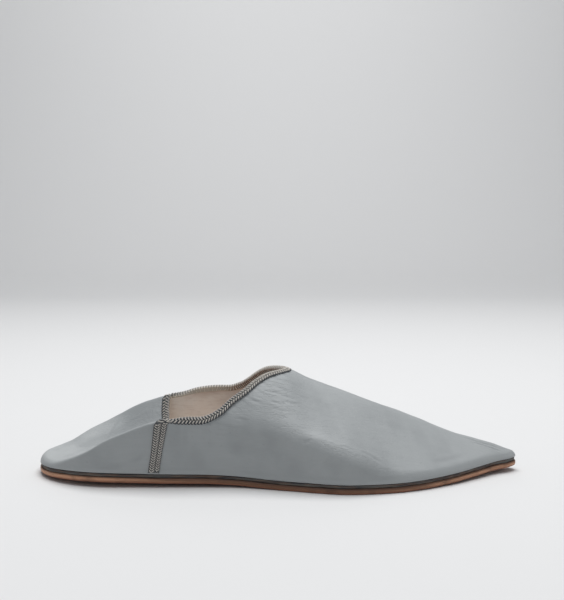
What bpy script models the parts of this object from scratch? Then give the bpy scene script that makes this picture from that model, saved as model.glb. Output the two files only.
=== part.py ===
"""Babouche slipper, the right one of a pair, with its heel trodden down.

A leather outsole, a thin dark midsole and an insole carry one hollow upper. The upper is a
single sheet of leather: the vamp over the toes, the side walls, and the heel quarter folded
inward into a trough. Braid binds the throat and the front edge of the folded quarter, and
covers both side seams.

X runs from heel to toe, Y from the outer to the inner side of the foot, Z up. The floor is
Z = 0, and the origin is under the middle of the sole. Sizes are in metres.
"""

import bpy
import numpy as np

# Plan of the sole
LENGTH = 0.250
BALL_WIDTH = 0.090
HEEL_WIDTH = 0.066
LAST_SHIFT = 0.0015
HEEL_END_LENGTH = 0.045
TOE_END_LENGTH = 0.007
WAIST_STATION = 0.34
BALL_STATION = 0.64

# Layers of the sole
OUTSOLE_THICKNESS = 0.0028
MIDSOLE_THICKNESS = 0.0014
INSOLE_THICKNESS = 0.0015
MIDSOLE_INSET = 0.0008
EDGE_BEVEL = 0.0006
GAP = 0.0003

# How the sole lifts off the floor
EDGE_CUP = 0.0026
CUP_START = 0.35
TOE_SPRING = 0.0026
SPRING_STATION = 0.74
SPRING_POWER = 1.5
WAIST_ARCH = 0.0005
ARCH_STATIONS = (0.27, 0.53)
SPINE_STATIONS = (0.12, 0.80)

# Upper, with heights above the top of the midsole
WALL = 0.0016
FOOT_INSET = 0.0003
WALL_LEAN = 0.0008
THROAT_RISE = 0.0486
SIDE_RISE = 0.0300
FLAP_RISE = 0.0147
SHOULDER_RADIUS = 0.0080
RIDGE_SOFTNESS = 0.10
LEAST_RISE = 0.0023
SHOULDER_SHARE = 0.92
BEND_SHARE = 0.9
BEND_REACH_SHARE = 0.7

# Braid
BRAID_THICKNESS = 0.0008
BRAID_LEG = 0.0030
HEEL_BRAID_SHARE = 0.262
THROAT_BRAID_SHARE = 0.318
SEAM_WIDTH = 0.0062
SEAM_STATION = 0.262
SEAM_SLANT = 0.0037
SEAM_FOOT_GAP = 0.0008
SEAM_TOP_GAP = 0.0014

# Room round the insole
INSOLE_SIDE_GAP = 0.0005
INSOLE_TOP_GAP = 0.0005

# Mesh density
SIDE_STEPS = 42
FINE_STEPS = 3
UPPER_ROWS = 14
SOLE_RINGS = (1.0, 0.84, 0.62, 0.35)
SEAM_ROWS = 7
INSOLE_SAMPLES = 8
WALL_SAMPLES = 12
SHOULDER_SAMPLES = 24
ROOF_SAMPLES = 64
TURN_LENGTH = 0.018
OUTLINE_TURN_LENGTH = 0.012
PATH_PULL = 0.85
START_PULL = 1.4
LANDING_PULL = 0.045
CORNER_STEP = 0.004

# Half widths of the sole, as shares of the width at that station
OUTLINE = (
    # station, outer, inner
    (0.000, 0.515, 0.485),
    (0.340, 0.515, 0.485),
    (0.440, 0.487, 0.452),
    (0.540, 0.496, 0.470),
    (0.640, 0.517, 0.483),
    (0.694, 0.501, 0.476),
    (0.734, 0.477, 0.457),
    (0.774, 0.436, 0.423),
    (0.862, 0.297, 0.293),
    (0.909, 0.196, 0.195),
    (0.958, 0.095, 0.095),
    (1.000, 0.048, 0.048),
)

# Lift of the sole's edge, as a share of the full cup
CUP = (
    # station, lift
    (0.00, 0.40),
    (0.04, 0.70),
    (0.08, 0.93),
    (0.14, 1.00),
    (0.25, 0.80),
    (0.34, 0.60),
    (0.42, 0.20),
    (0.49, 0.00),
    (1.00, 0.00),
)

# Sections of the upper: heights as shares of the flap, throat and side rises,
# bow of the roof between middle and edge, radius where roof and wall meet
SECTIONS = (
    # station, flap, throat, outer edge, inner edge, bow, shoulder
    (0.000, 0.34, 0.000, 0.165, 0.170, 1.70, 0.54),
    (0.040, 0.36, 0.000, 0.170, 0.228, 1.65, 0.54),
    (0.080, 0.44, 0.000, 0.285, 0.385, 1.60, 0.54),
    (0.118, 0.54, 0.000, 0.440, 0.535, 1.55, 0.54),
    (0.160, 0.67, 0.000, 0.660, 0.730, 1.50, 0.54),
    (0.192, 0.78, 0.000, 0.790, 0.873, 1.42, 0.60),
    (0.264, 1.00, 0.000, 1.018, 1.071, 1.40, 0.65),
    (0.278, 1.05, 0.000, 1.031, 1.091, 1.45, 0.63),
    (0.298, 0.60, 0.450, 1.029, 1.109, 1.65, 0.56),
    (0.320, 0.05, 0.950, 1.015, 1.130, 1.90, 0.48),
    (0.352, 0.00, 1.020, 0.965, 1.140, 2.05, 0.46),
    (0.392, 0.00, 1.070, 0.905, 1.110, 2.05, 0.55),
    (0.414, 0.00, 1.078, 0.880, 1.060, 2.00, 0.66),
    (0.440, 0.00, 1.072, 0.850, 0.970, 1.95, 0.85),
    (0.476, 0.00, 1.050, 0.825, 0.900, 1.85, 1.00),
    (0.500, 0.00, 1.022, 0.815, 0.860, 1.70, 1.00),
    (0.519, 0.00, 1.000, 0.785, 0.820, 1.52, 1.00),
    (0.558, 0.00, 0.907, 0.693, 0.700, 1.25, 1.00),
    (0.596, 0.00, 0.833, 0.600, 0.610, 1.14, 1.00),
    (0.634, 0.00, 0.763, 0.490, 0.510, 1.08, 0.95),
    (0.671, 0.00, 0.695, 0.350, 0.380, 1.05, 0.80),
    (0.708, 0.00, 0.628, 0.190, 0.210, 1.05, 0.55),
    (0.746, 0.00, 0.562, 0.112, 0.120, 1.05, 0.38),
    (0.796, 0.00, 0.453, 0.094, 0.096, 1.05, 0.33),
    (0.862, 0.00, 0.302, 0.090, 0.090, 1.05, 0.31),
    (0.916, 0.00, 0.212, 0.088, 0.088, 1.05, 0.30),
    (0.953, 0.00, 0.148, 0.086, 0.086, 1.10, 0.30),
    (0.986, 0.00, 0.075, 0.084, 0.084, 1.20, 0.30),
    (1.000, 0.00, 0.050, 0.082, 0.082, 1.20, 0.30),
)

# Edge of the leather around the foot opening: where each point of the outline leads to,
# as a station and as a share of the half width there
OPENING = (
    # share of outline, station outer, width outer, station inner, width inner
    (0.000, 0.266, 0.000, 0.266, 0.000),
    (0.100, 0.268, 0.330, 0.263, 0.330),
    (0.166, 0.270, 0.545, 0.260, 0.545),
    (0.220, 0.273, 0.715, 0.257, 0.715),
    (0.262, 0.275, 0.860, 0.256, 0.860),
    (0.290, 0.280, 0.955, 0.259, 0.955),
    (0.306, 0.290, 0.976, 0.274, 0.976),
    (0.336, 0.315, 0.976, 0.308, 0.976),
    (0.371, 0.350, 0.965, 0.352, 0.968),
    (0.400, 0.378, 0.910, 0.390, 0.962),
    (0.445, 0.403, 0.790, 0.412, 0.905),
    (0.530, 0.430, 0.660, 0.433, 0.770),
    (0.608, 0.449, 0.530, 0.452, 0.610),
    (0.717, 0.473, 0.360, 0.475, 0.410),
    (0.806, 0.491, 0.240, 0.493, 0.270),
    (0.880, 0.504, 0.140, 0.505, 0.160),
    (0.940, 0.511, 0.070, 0.511, 0.080),
    (1.000, 0.513, 0.000, 0.513, 0.000),
)

# Colour and roughness of each piece
FINISHES = {
    "outsole": ((0.30, 0.16, 0.09), 0.62),
    "midsole": ((0.06, 0.04, 0.03), 0.70),
    "insole": ((0.50, 0.38, 0.30), 0.85),
    "upper": ((0.33, 0.36, 0.37), 0.48),
    "throat_binding": ((0.42, 0.38, 0.33), 0.80),
    "heel_binding": ((0.42, 0.38, 0.33), 0.80),
    "seam_braid_outer": ((0.42, 0.38, 0.33), 0.80),
    "seam_braid_inner": ((0.42, 0.38, 0.33), 0.80),
}

STATIONS = np.linspace(0.0, 1.0, 501)
SMOOTHING = 7
STEP = 1e-6


def curve(rows, column):
    """Smooth curve through one column of a table, on the evenly spaced STATIONS."""
    x = np.array([row[0] for row in rows])
    y = np.array([row[column] for row in rows])
    width = np.diff(x)
    slope = np.diff(y) / width
    tangent = np.zeros(len(x))
    same = slope[:-1] * slope[1:] > 0.0
    weight_a = 2.0 * width[1:] + width[:-1]
    weight_b = width[1:] + 2.0 * width[:-1]
    safe_a = np.where(same, slope[:-1], 1.0)
    safe_b = np.where(same, slope[1:], 1.0)
    mean = (weight_a + weight_b) / (weight_a / safe_a + weight_b / safe_b)
    tangent[1:-1] = np.where(same, mean, 0.0)
    tangent[0] = slope[0]
    tangent[-1] = slope[-1]
    span = np.clip(np.searchsorted(x, STATIONS, side="right") - 1, 0, len(x) - 2)
    t = (STATIONS - x[span]) / width[span]
    values = (
        y[span] * (1.0 + 2.0 * t) * (1.0 - t) ** 2
        + y[span + 1] * t * t * (3.0 - 2.0 * t)
        + width[span] * tangent[span] * t * (1.0 - t) ** 2
        + width[span] * tangent[span + 1] * t * t * (t - 1.0)
    )
    kernel = np.hanning(2 * SMOOTHING + 3)[1:-1]
    padded = np.pad(values, SMOOTHING, mode="reflect", reflect_type="odd")
    return np.convolve(padded, kernel / kernel.sum(), mode="valid")


OUTER_WIDTH = curve(OUTLINE, 1)
INNER_WIDTH = curve(OUTLINE, 2)
CUP_CURVE = curve(CUP, 1)
FLAP, THROAT, OUTER_EDGE, INNER_EDGE, BOW, SHOULDER = (curve(SECTIONS, k) for k in range(1, 7))
OUTER_STATION, OUTER_REACH, INNER_STATION, INNER_REACH = (curve(OPENING, k) for k in range(1, 5))


def at(values, station):
    """Value of a curve at a station from 0 (heel) to 1 (toe)."""
    return np.interp(station, STATIONS, values)


def ramp(value, low, high):
    """Smooth step from 0 at low to 1 at high."""
    t = np.clip((value - low) / (high - low), 0.0, 1.0)
    return t * t * (3.0 - 2.0 * t)


def half_width(x, inner):
    """Half width of the sole at a distance x from the heel end, on the inner or outer side."""
    station = x / LENGTH
    width = HEEL_WIDTH + (BALL_WIDTH - HEEL_WIDTH) * ramp(station, WAIST_STATION, BALL_STATION)
    share = np.where(inner, at(INNER_WIDTH, station), at(OUTER_WIDTH, station))
    heel = 1.0 - np.clip(1.0 - x / HEEL_END_LENGTH, 0.0, 1.0) ** 2
    toe = 1.0 - np.clip(1.0 - (LENGTH - x) / TOE_END_LENGTH, 0.0, 1.0) ** 2
    return width * share * np.sqrt(heel * toe)


def floor_height(x, share):
    """Height of the sole's underside: share runs from 0 at the spine to 1 at the edge."""
    station = x / LENGTH
    spring = np.clip((station - SPRING_STATION) / (1.0 - SPRING_STATION), 0.0, 1.0)
    low, high = ARCH_STATIONS
    arch = np.sin(np.pi * np.clip((station - low) / (high - low), 0.0, 1.0)) ** 2
    edge = np.clip((share - CUP_START) / (1.0 - CUP_START), 0.0, 1.0)
    return (
        TOE_SPRING * spring**SPRING_POWER
        + WAIST_ARCH * arch
        + EDGE_CUP * at(CUP_CURVE, station) * edge**2
    )


def stations_along(steps):
    """Distances from the heel end, closer together where the outline turns, and their shares."""
    x = LENGTH * 0.5 * (1.0 - np.cos(np.linspace(0.0, np.pi, 4001)))
    y = 0.5 * (half_width(x, True) + half_width(x, False))
    length = np.concatenate([[0.0], np.cumsum(np.hypot(np.diff(x), np.diff(y)))])
    heading = np.arctan2(np.diff(y), np.diff(x))
    turn = np.concatenate([[0.0], np.cumsum(np.abs(np.diff(heading))), [0.0]])
    turn[-1] = turn[-2]
    measure = length + OUTLINE_TURN_LENGTH * turn
    wanted = np.linspace(0.0, measure[-1], steps + 1)
    return np.interp(wanted, measure, x), np.interp(wanted, measure, length / length[-1])


def top_width(x, inner):
    """Half width of the upper at the top of its wall, which leans in more where it is taller."""
    return half_width(x, inner) - FOOT_INSET - lean(x, inner)


def lean(x, inner):
    """How far the top of the wall stands inside its foot."""
    station = x / LENGTH
    return WALL_LEAN * np.where(inner, at(INNER_EDGE, station), at(OUTER_EDGE, station))


class Columns:
    """The ring of columns shared by the sole and the upper: heel, outer side, toe, inner side."""

    def __init__(self, steps):
        x, share = stations_along(steps)
        self.toe = steps
        self.x = np.concatenate([x, x[-2:0:-1]])
        self.share = np.concatenate([share, share[-2:0:-1]])
        self.count = len(self.x)
        self.inner = np.arange(self.count) > steps
        self.side = np.where(self.inner, 1.0, -1.0)
        width = half_width(self.x, self.inner)
        width[[0, steps]] = 0.0
        safe_x = np.clip(self.x, STEP, LENGTH - STEP)
        ahead = half_width(safe_x + STEP, self.inner)
        behind = half_width(safe_x - STEP, self.inner)
        normal = np.stack([-(ahead - behind) / (2.0 * STEP), self.side], axis=1)
        normal[0] = (-1.0, 0.0)
        normal[steps] = (1.0, 0.0)
        self.normal = normal / np.linalg.norm(normal, axis=1, keepdims=True)
        self.edge = np.stack([self.x, self.side * width], axis=1)
        low, high = SPINE_STATIONS
        spine_x = np.clip(self.x, low * LENGTH, high * LENGTH)
        self.spine = np.stack([spine_x, np.zeros(self.count)], axis=1)

    def inset(self, distance):
        """Plan points at a distance inside the outline."""
        return self.edge - self.normal * np.asarray(distance)[..., None]

    def sole_share(self, plan):
        """How far plan points lie from the spine towards the edge, as a share."""
        reach = np.linalg.norm(self.edge - self.spine, axis=1)
        away = np.linalg.norm(plan - self.spine, axis=1)
        return away / reach

    def seat(self, plan):
        """Height of the top of the midsole, with the gap above it, under plan points."""
        lift = floor_height(plan[:, 0], self.sole_share(plan))
        return lift + OUTSOLE_THICKNESS + GAP + MIDSOLE_THICKNESS + GAP


def roof_height(x, y):
    """Height of the upper's top face before its edge is rounded into the wall."""
    station = x / LENGTH
    inner = y > 0.0
    half = top_width(np.clip(x, STEP, LENGTH - STEP), inner)
    share = np.clip(np.abs(y) / np.maximum(half, WALL), 0.0, 1.0)
    soft = np.sqrt(share**2 + RIDGE_SOFTNESS**2) - RIDGE_SOFTNESS
    soft = soft / (np.sqrt(1.0 + RIDGE_SOFTNESS**2) - RIDGE_SOFTNESS)
    middle = FLAP_RISE * at(FLAP, station) + THROAT_RISE * at(THROAT, station)
    edge = SIDE_RISE * np.where(inner, at(INNER_EDGE, station), at(OUTER_EDGE, station))
    seat = floor_height(x, 0.0) + OUTSOLE_THICKNESS + GAP + MIDSOLE_THICKNESS + GAP
    return seat + middle + (edge - middle) * soft ** at(BOW, station)


def opening_points(columns, shift):
    """Plan points of the leather's edge around the foot opening, one for each column.

    The shift moves every point along the edge, as a share of the outline.
    """
    share = columns.share + np.where(columns.inner, -shift, shift)
    beyond = (share < 0.0) | (share > 1.0)
    share = np.abs(share)
    share = np.where(share > 1.0, 2.0 - share, share)
    inner = columns.inner ^ beyond
    x = np.where(inner, at(INNER_STATION, share), at(OUTER_STATION, share)) * LENGTH
    half = top_width(x, inner)
    reach = np.where(inner, at(INNER_REACH, share), at(OUTER_REACH, share))
    return np.stack([x, np.where(inner, 1.0, -1.0) * half * reach], axis=1)


def unit(vectors):
    """Vectors scaled to length one."""
    return vectors / np.linalg.norm(vectors, axis=-1, keepdims=True)


def edge_distance(plan, ring, radius):
    """Distance of plan points from the closed line of ring points, and the radius at the foot."""
    span = np.roll(ring, -1, axis=0) - ring
    change = np.roll(radius, -1) - radius
    away = plan.reshape(-1, 1, 2) - ring[None]
    share = np.clip((away * span).sum(axis=2) / (span**2).sum(axis=1), 0.0, 1.0)
    gap = np.linalg.norm(away - share[..., None] * span, axis=2)
    nearest = gap.argmin(axis=1)
    chosen = np.arange(len(nearest))
    at_foot = radius[nearest] + change[nearest] * share[chosen, nearest]
    shape = plan.shape[:2]
    return gap[chosen, nearest].reshape(shape), at_foot.reshape(shape)


def fine_upper(columns):
    """Closely spaced points up each column, from the sole's edge to the foot opening."""
    foot = columns.inset(np.full(columns.count, FOOT_INSET))
    top = columns.inset(FOOT_INSET + lean(columns.x, columns.inner))
    target = opening_points(columns, 0.0)
    target[[0, columns.toe], 1] = 0.0
    along = unit(opening_points(columns, CORNER_STEP) - opening_points(columns, -CORNER_STEP))
    arrive = np.stack([-along[:, 1], along[:, 0]], axis=1)
    reach = np.linalg.norm(target - top, axis=1)
    foot_z = columns.seat(foot)
    corner = roof_height(top[:, 0], top[:, 1])
    radius = SHOULDER_RADIUS * at(SHOULDER, columns.x / LENGTH)
    radius = np.minimum(radius, SHOULDER_SHARE * np.maximum(corner - foot_z, LEAST_RISE))
    bend_reach = np.minimum(BEND_SHARE * radius, BEND_REACH_SHARE * reach)
    bend_angle = np.arccos(1.0 - bend_reach / radius)
    turn = np.linspace(0.0, 1.0, SHOULDER_SAMPLES)
    bend = radius[:, None] * (1.0 - np.cos(bend_angle[:, None] * turn))
    rest = np.linspace(0.0, 1.0, ROOF_SAMPLES + 1)[1:]
    straight = bend_reach[:, None] + (reach - bend_reach)[:, None] * rest
    travel = np.concatenate([bend, straight], axis=1)
    t = (travel / reach[:, None])[:, :, None]
    width = np.abs(columns.edge[:, 1])
    ahead = (target - top) / reach[:, None]
    pull = np.minimum(PATH_PULL * reach, START_PULL * width)[:, None]
    leave = ahead * (reach[:, None] - pull) - columns.normal * pull
    pull = np.minimum(PATH_PULL * reach, LANDING_PULL)[:, None]
    land = ahead * (reach[:, None] - pull) + arrive * pull
    plan = (
        top[:, None] * (1.0 + 2.0 * t) * (1.0 - t) ** 2
        + target[:, None] * t * t * (3.0 - 2.0 * t)
        + leave[:, None] * t * (1.0 - t) ** 2
        + land[:, None] * t * t * (t - 1.0)
    )
    distance, bend_radius = edge_distance(plan, top, radius)
    inward = np.clip(bend_radius - distance, 0.0, None)
    drop = bend_radius - np.sqrt(np.maximum(bend_radius**2 - inward**2, 0.0))
    height = roof_height(plan[..., 0], plan[..., 1])
    roof = np.concatenate([plan, (height - drop)[..., None]], axis=2)
    low = np.concatenate([foot, foot_z[:, None]], axis=1)
    up = np.linspace(0.0, 1.0, WALL_SAMPLES + 1)[:-1]
    wall = low[:, None] + (roof[:, :1] - low[:, None]) * up[None, :, None]
    return np.concatenate([wall, roof], axis=1)


def normals(points):
    """Outward unit normals of a closed ring of columns."""
    across = np.roll(points, -1, axis=0) - np.roll(points, 1, axis=0)
    up = np.gradient(points, axis=1)
    return unit(np.cross(across, up))


def lengths(points):
    """Distance travelled along each column."""
    steps = np.linalg.norm(np.diff(points, axis=1), axis=2)
    return np.concatenate([np.zeros((len(points), 1)), np.cumsum(steps, axis=1)], axis=1)


def pick(values, measure, wanted):
    """Values of each column where its measure reaches each wanted figure."""
    picked = np.empty((len(values), wanted.shape[1], 3))
    for k in range(len(values)):
        for axis in range(3):
            picked[k, :, axis] = np.interp(wanted[k], measure[k], values[k, :, axis])
    return picked


def rows_of(points, count):
    """Distances along each column of the mesh rows, closer together where the column bends.

    The last rows lie under the ends and the middle of the braid's leg.
    """
    travel = lengths(points)
    heading = unit(np.diff(points, axis=1))
    cosine = np.clip((heading[:, 1:] * heading[:, :-1]).sum(axis=2), -1.0, 1.0)
    turn = np.pad(np.arccos(cosine), ((0, 0), (1, 1)))
    measure = travel + TURN_LENGTH * np.cumsum(turn, axis=1)
    rows = np.empty((len(points), count))
    rows[:, -1] = travel[:, -1]
    rows[:, -2] = travel[:, -1] - 0.5 * BRAID_LEG
    rows[:, -3] = travel[:, -1] - BRAID_LEG
    for k in range(len(points)):
        last = np.interp(rows[k, -3], travel[k], measure[k])
        wanted = np.linspace(0.0, last, count - 2)
        rows[k, :-3] = np.interp(wanted[:-1], measure[k], travel[k])
    return rows


def material(name):
    """Plain material in the piece's colour."""
    colour, roughness = FINISHES[name]
    made = bpy.data.materials.new(name)
    made.use_nodes = True
    shader = made.node_tree.nodes["Principled BSDF"]
    shader.inputs["Base Color"].default_value = (*colour, 1.0)
    shader.inputs["Roughness"].default_value = roughness
    made.diffuse_color = (*colour, 1.0)
    return made


def add_piece(name, points, faces):
    """Object of one piece, moved from heel-based to middle-based coordinates."""
    placed = points.reshape(-1, 3) + np.array([-0.5 * LENGTH, LAST_SHIFT, 0.0])
    mesh = bpy.data.meshes.new(name)
    mesh.from_pydata(placed.tolist(), [], faces)
    mesh.validate()
    mesh.materials.append(material(name))
    piece = bpy.data.objects.new(name, mesh)
    bpy.context.scene.collection.objects.link(piece)
    return piece


def ring_faces(count, rows, start, flip):
    """Quads of a closed ring of columns whose points are numbered column by column."""
    faces = []
    for i in range(count):
        j = (i + 1) % count
        for r in range(rows - 1):
            quad = (
                start + i * rows + r,
                start + j * rows + r,
                start + j * rows + r + 1,
                start + i * rows + r + 1,
            )
            faces.append(quad[::-1] if flip else quad)
    return faces


def cap_faces(count, rows, start, flip):
    """Faces that close the innermost row by joining each outer column to its inner twin."""
    last = [start + i * rows + rows - 1 for i in range(count)]
    toe = count // 2
    faces = [(last[0], last[1], last[count - 1])]
    for i in range(1, toe - 1):
        faces.append((last[i], last[i + 1], last[count - i - 1], last[count - i]))
    faces.append((last[toe - 1], last[toe], last[toe + 1]))
    return [face[::-1] if flip else face for face in faces]


def plate(name, columns, edge, bottom, thickness, bevel):
    """Layer of the sole inside a plan outline, following the lift of the underside."""
    shares = np.array(SOLE_RINGS)
    top_plan = columns.spine[:, None] + (edge - columns.spine)[:, None] * shares[None, :, None]
    pulled = edge - columns.normal * bevel
    low_plan = columns.spine[:, None] + (pulled - columns.spine)[:, None] * shares[None, :, None]
    layers = []
    for plan, height in ((low_plan, bottom), (top_plan, bottom + thickness)):
        share = np.stack([columns.sole_share(plan[:, r]) for r in range(len(shares))], axis=1)
        lift = floor_height(plan[..., 0], share) + height
        layers.append(np.concatenate([plan, lift[..., None]], axis=2))
    low, high = layers
    side = high[:, :1].copy()
    if bevel > 0.0:
        side[..., 2] = low[:, :1, 2] + bevel
    rows = len(shares)
    count = columns.count
    faces = ring_faces(count, rows, 0, True) + cap_faces(count, rows, 0, True)
    shift = count * rows
    faces += ring_faces(count, rows, shift, False) + cap_faces(count, rows, shift, False)
    points = [low.reshape(-1, 3), high.reshape(-1, 3)]
    belts = [(0, rows, shift, rows)]
    if bevel > 0.0:
        points.append(side.reshape(-1, 3))
        belts = [(0, rows, 2 * shift, 1), (2 * shift, 1, shift, rows)]
    for low_start, low_step, high_start, high_step in belts:
        for i in range(count):
            j = (i + 1) % count
            faces.append((
                low_start + i * low_step,
                low_start + j * low_step,
                high_start + j * high_step,
                high_start + i * high_step,
            ))
    return add_piece(name, np.concatenate(points), faces)


def shell(name, outside, inside):
    """Hollow upper between two rings of columns, closed along the foot and the opening."""
    count, rows = outside.shape[:2]
    shift = count * rows
    faces = ring_faces(count, rows, 0, False) + ring_faces(count, rows, shift, True)
    for i in range(count):
        j = (i + 1) % count
        foot = (i * rows, shift + i * rows, shift + j * rows, j * rows)
        rim_i = i * rows + rows - 1
        rim_j = j * rows + rows - 1
        faces.append(foot)
        faces.append((rim_i, rim_j, shift + rim_j, shift + rim_i))
    return add_piece(name, np.concatenate([outside.reshape(-1, 3), inside.reshape(-1, 3)]), faces)


def strip(name, sections):
    """Solid swept through closed cross-sections, whose two ends are closed by paired quads."""
    count, size = sections.shape[:2]
    faces = []
    for i in range(count - 1):
        for k in range(size):
            m = (k + 1) % size
            faces.append((i * size + k, i * size + m, (i + 1) * size + m, (i + 1) * size + k))
    end = (count - 1) * size
    for k in range(size // 2 - 1):
        pair = (k, k + 1, size - 2 - k, size - 1 - k)
        faces.append(pair[::-1])
        faces.append(tuple(end + index for index in pair))
    return add_piece(name, sections.reshape(-1, 3), faces)


def binding(name, fine, facing, picked):
    """Braid folded over the leather's edge along the picked columns."""
    line = fine[picked][:, ::-1]
    turn = facing[picked][:, ::-1]
    travel = lengths(line)
    steps = np.tile(np.array([0.0, 0.5, 1.0]) * BRAID_LEG, (len(line), 1))
    spots = pick(line, travel, steps)
    out = unit(pick(turn, travel, steps))
    ahead = unit(spots[:, 0] - spots[:, 1])
    rim = out[:, 0]
    ahead = unit(ahead - rim * (ahead * rim).sum(axis=1, keepdims=True))
    near = GAP
    far = GAP + BRAID_THICKNESS
    under_near = WALL + near
    under_far = WALL + far
    edge = spots[:, 0]
    section = np.stack([
        spots[:, 2] + out[:, 2] * far,
        spots[:, 1] + out[:, 1] * far,
        edge + rim * far,
        edge + rim * near + ahead * far,
        edge - rim * under_near + ahead * far,
        edge - rim * under_far,
        spots[:, 1] - out[:, 1] * under_far,
        spots[:, 2] - out[:, 2] * under_far,
        spots[:, 2] - out[:, 2] * under_near,
        spots[:, 1] - out[:, 1] * under_near,
        edge - rim * under_near,
        edge - rim * under_near + ahead * near,
        edge + rim * near + ahead * near,
        edge + rim * near,
        spots[:, 1] + out[:, 1] * near,
        spots[:, 2] + out[:, 2] * near,
    ], axis=1)
    return strip(name, section[::-1])


def seam_braid(name, columns, fine, inner):
    """Braid laid on the side wall over the seam, from the sole up to the opening's corner."""
    order = np.arange(columns.count - 1, columns.toe, -1) if inner else np.arange(1, columns.toe)
    x = columns.x[order]
    wall_foot = fine[order, 0]
    wall_top = fine[order, WALL_SAMPLES]
    levels = np.linspace(0.0, 1.0, SEAM_ROWS)
    middle = SEAM_STATION * LENGTH
    sections = []
    for level in levels:
        centre = middle + SEAM_SLANT * (level - 0.5)
        places = centre + SEAM_WIDTH * np.array([-0.5, -0.25, 0.0, 0.25, 0.5])
        low = np.stack([np.interp(places, x, wall_foot[:, axis]) for axis in range(3)], axis=1)
        high = np.stack([np.interp(places, x, wall_top[:, axis]) for axis in range(3)], axis=1)
        rise = (high - low)[:, 2:]
        share = (SEAM_FOOT_GAP + level * (rise - SEAM_FOOT_GAP - SEAM_TOP_GAP)) / rise
        base = low + (high - low) * share
        forward = unit(low[2:] - low[:-2])[[0, 0, 1, 2, 2]]
        up = unit(high - low)
        out = unit(np.cross(forward, up)) * (-1.0 if inner else 1.0)
        near = base + out * GAP
        far = base + out * (GAP + BRAID_THICKNESS)
        sections.append(np.concatenate([far, near[::-1]]))
    sections = np.array(sections)
    return strip(name, sections[:, ::-1] if inner else sections)


def insole_edge(columns, inside):
    """Plan outline of the insole, drawn in until the upper's inner face clears its top."""
    least = FOOT_INSET + WALL + INSOLE_SIDE_GAP
    need = np.full(columns.count, least)
    rows = np.arange(inside.shape[1])
    fine_rows = np.linspace(0.0, rows[-1], INSOLE_SAMPLES * rows[-1] + 1)
    inside = pick(inside, np.tile(rows, (columns.count, 1)), np.tile(fine_rows, (columns.count, 1)))
    for k in range(columns.count):
        plan = inside[k, :, :2]
        depth = (columns.edge[k] - plan) @ columns.normal[k]
        ring = np.linalg.norm(plan - columns.spine[k], axis=1)
        ring = ring / np.linalg.norm(columns.edge[k] - columns.spine[k])
        layer = OUTSOLE_THICKNESS + GAP + MIDSOLE_THICKNESS + GAP + INSOLE_THICKNESS
        top = floor_height(plan[:, 0], np.minimum(ring, 1.0)) + layer
        low = (inside[k, :, 2] < top + INSOLE_TOP_GAP) & (inside[k, :, 2] > top - 2.0 * INSOLE_THICKNESS)
        low &= np.arange(len(depth)) < np.argmax(depth) + 1
        if low.any():
            need[k] = max(least, depth[low].max() + INSOLE_SIDE_GAP)
    wide = np.max([np.roll(need, shift) for shift in (-2, -1, 0, 1, 2)], axis=0)
    smooth = 0.25 * np.roll(wide, 1) + 0.5 * wide + 0.25 * np.roll(wide, -1)
    away = columns.edge - columns.spine
    reach = np.linalg.norm(away, axis=1)
    facing = (away / reach[:, None] * columns.normal).sum(axis=1)
    return columns.edge - away / reach[:, None] * (smooth / facing)[:, None]


def build():
    """Empties the scene and models every piece."""
    for old in list(bpy.data.objects):
        bpy.data.objects.remove(old, do_unlink=True)
    columns = Columns(SIDE_STEPS)
    close = fine_upper(Columns(SIDE_STEPS * FINE_STEPS))
    facing = normals(close)[::FINE_STEPS]
    fine = close[::FINE_STEPS]
    travel = lengths(fine)
    rows = rows_of(fine, UPPER_ROWS)
    outside = pick(fine, travel, rows)
    out = unit(pick(facing, travel, rows))
    inside = outside - out * WALL
    foot = columns.inset(np.full(columns.count, FOOT_INSET + WALL))
    inside[:, 0, :2] = foot
    inside[:, 0, 2] = columns.seat(foot)
    base = OUTSOLE_THICKNESS + GAP
    plate("outsole", columns, columns.edge, 0.0, OUTSOLE_THICKNESS, EDGE_BEVEL)
    welt = columns.inset(np.full(columns.count, MIDSOLE_INSET))
    plate("midsole", columns, welt, base, MIDSOLE_THICKNESS, 0.0)
    seat = base + MIDSOLE_THICKNESS + GAP
    plate("insole", columns, insole_edge(columns, inside), seat, INSOLE_THICKNESS, 0.0)
    shell("upper", outside, inside)
    heel = np.where(columns.share < HEEL_BRAID_SHARE)[0]
    heel = np.concatenate([heel[heel > columns.toe], heel[heel < columns.toe]])
    throat = np.where(columns.share > THROAT_BRAID_SHARE)[0]
    binding("heel_binding", fine, facing, heel)
    binding("throat_binding", fine, facing, throat)
    seam_braid("seam_braid_outer", columns, fine, False)
    seam_braid("seam_braid_inner", columns, fine, True)


build()
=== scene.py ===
"""Looks of a babouche slipper whose heel is trodden down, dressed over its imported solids.

The frame is the solids' own: X runs from heel to toe, Y from the outer to the inner side of the
foot, Z up, in metres, with the origin under the middle of the sole. Shapes are worked out in
heel-based coordinates, where x is the distance from the heel end, and are moved once, when a
piece is made.

One ring of columns runs round the edge of the sole: heel, outer side, toe, inner side. The upper
is a grid over that ring, one column of points from the sole's edge up the wall, over the
shoulder and on to the foot opening. Threads, tapes and linings are placed on that grid.
"""

import logging
import math
from dataclasses import dataclass
from enum import Enum
from functools import reduce

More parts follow.
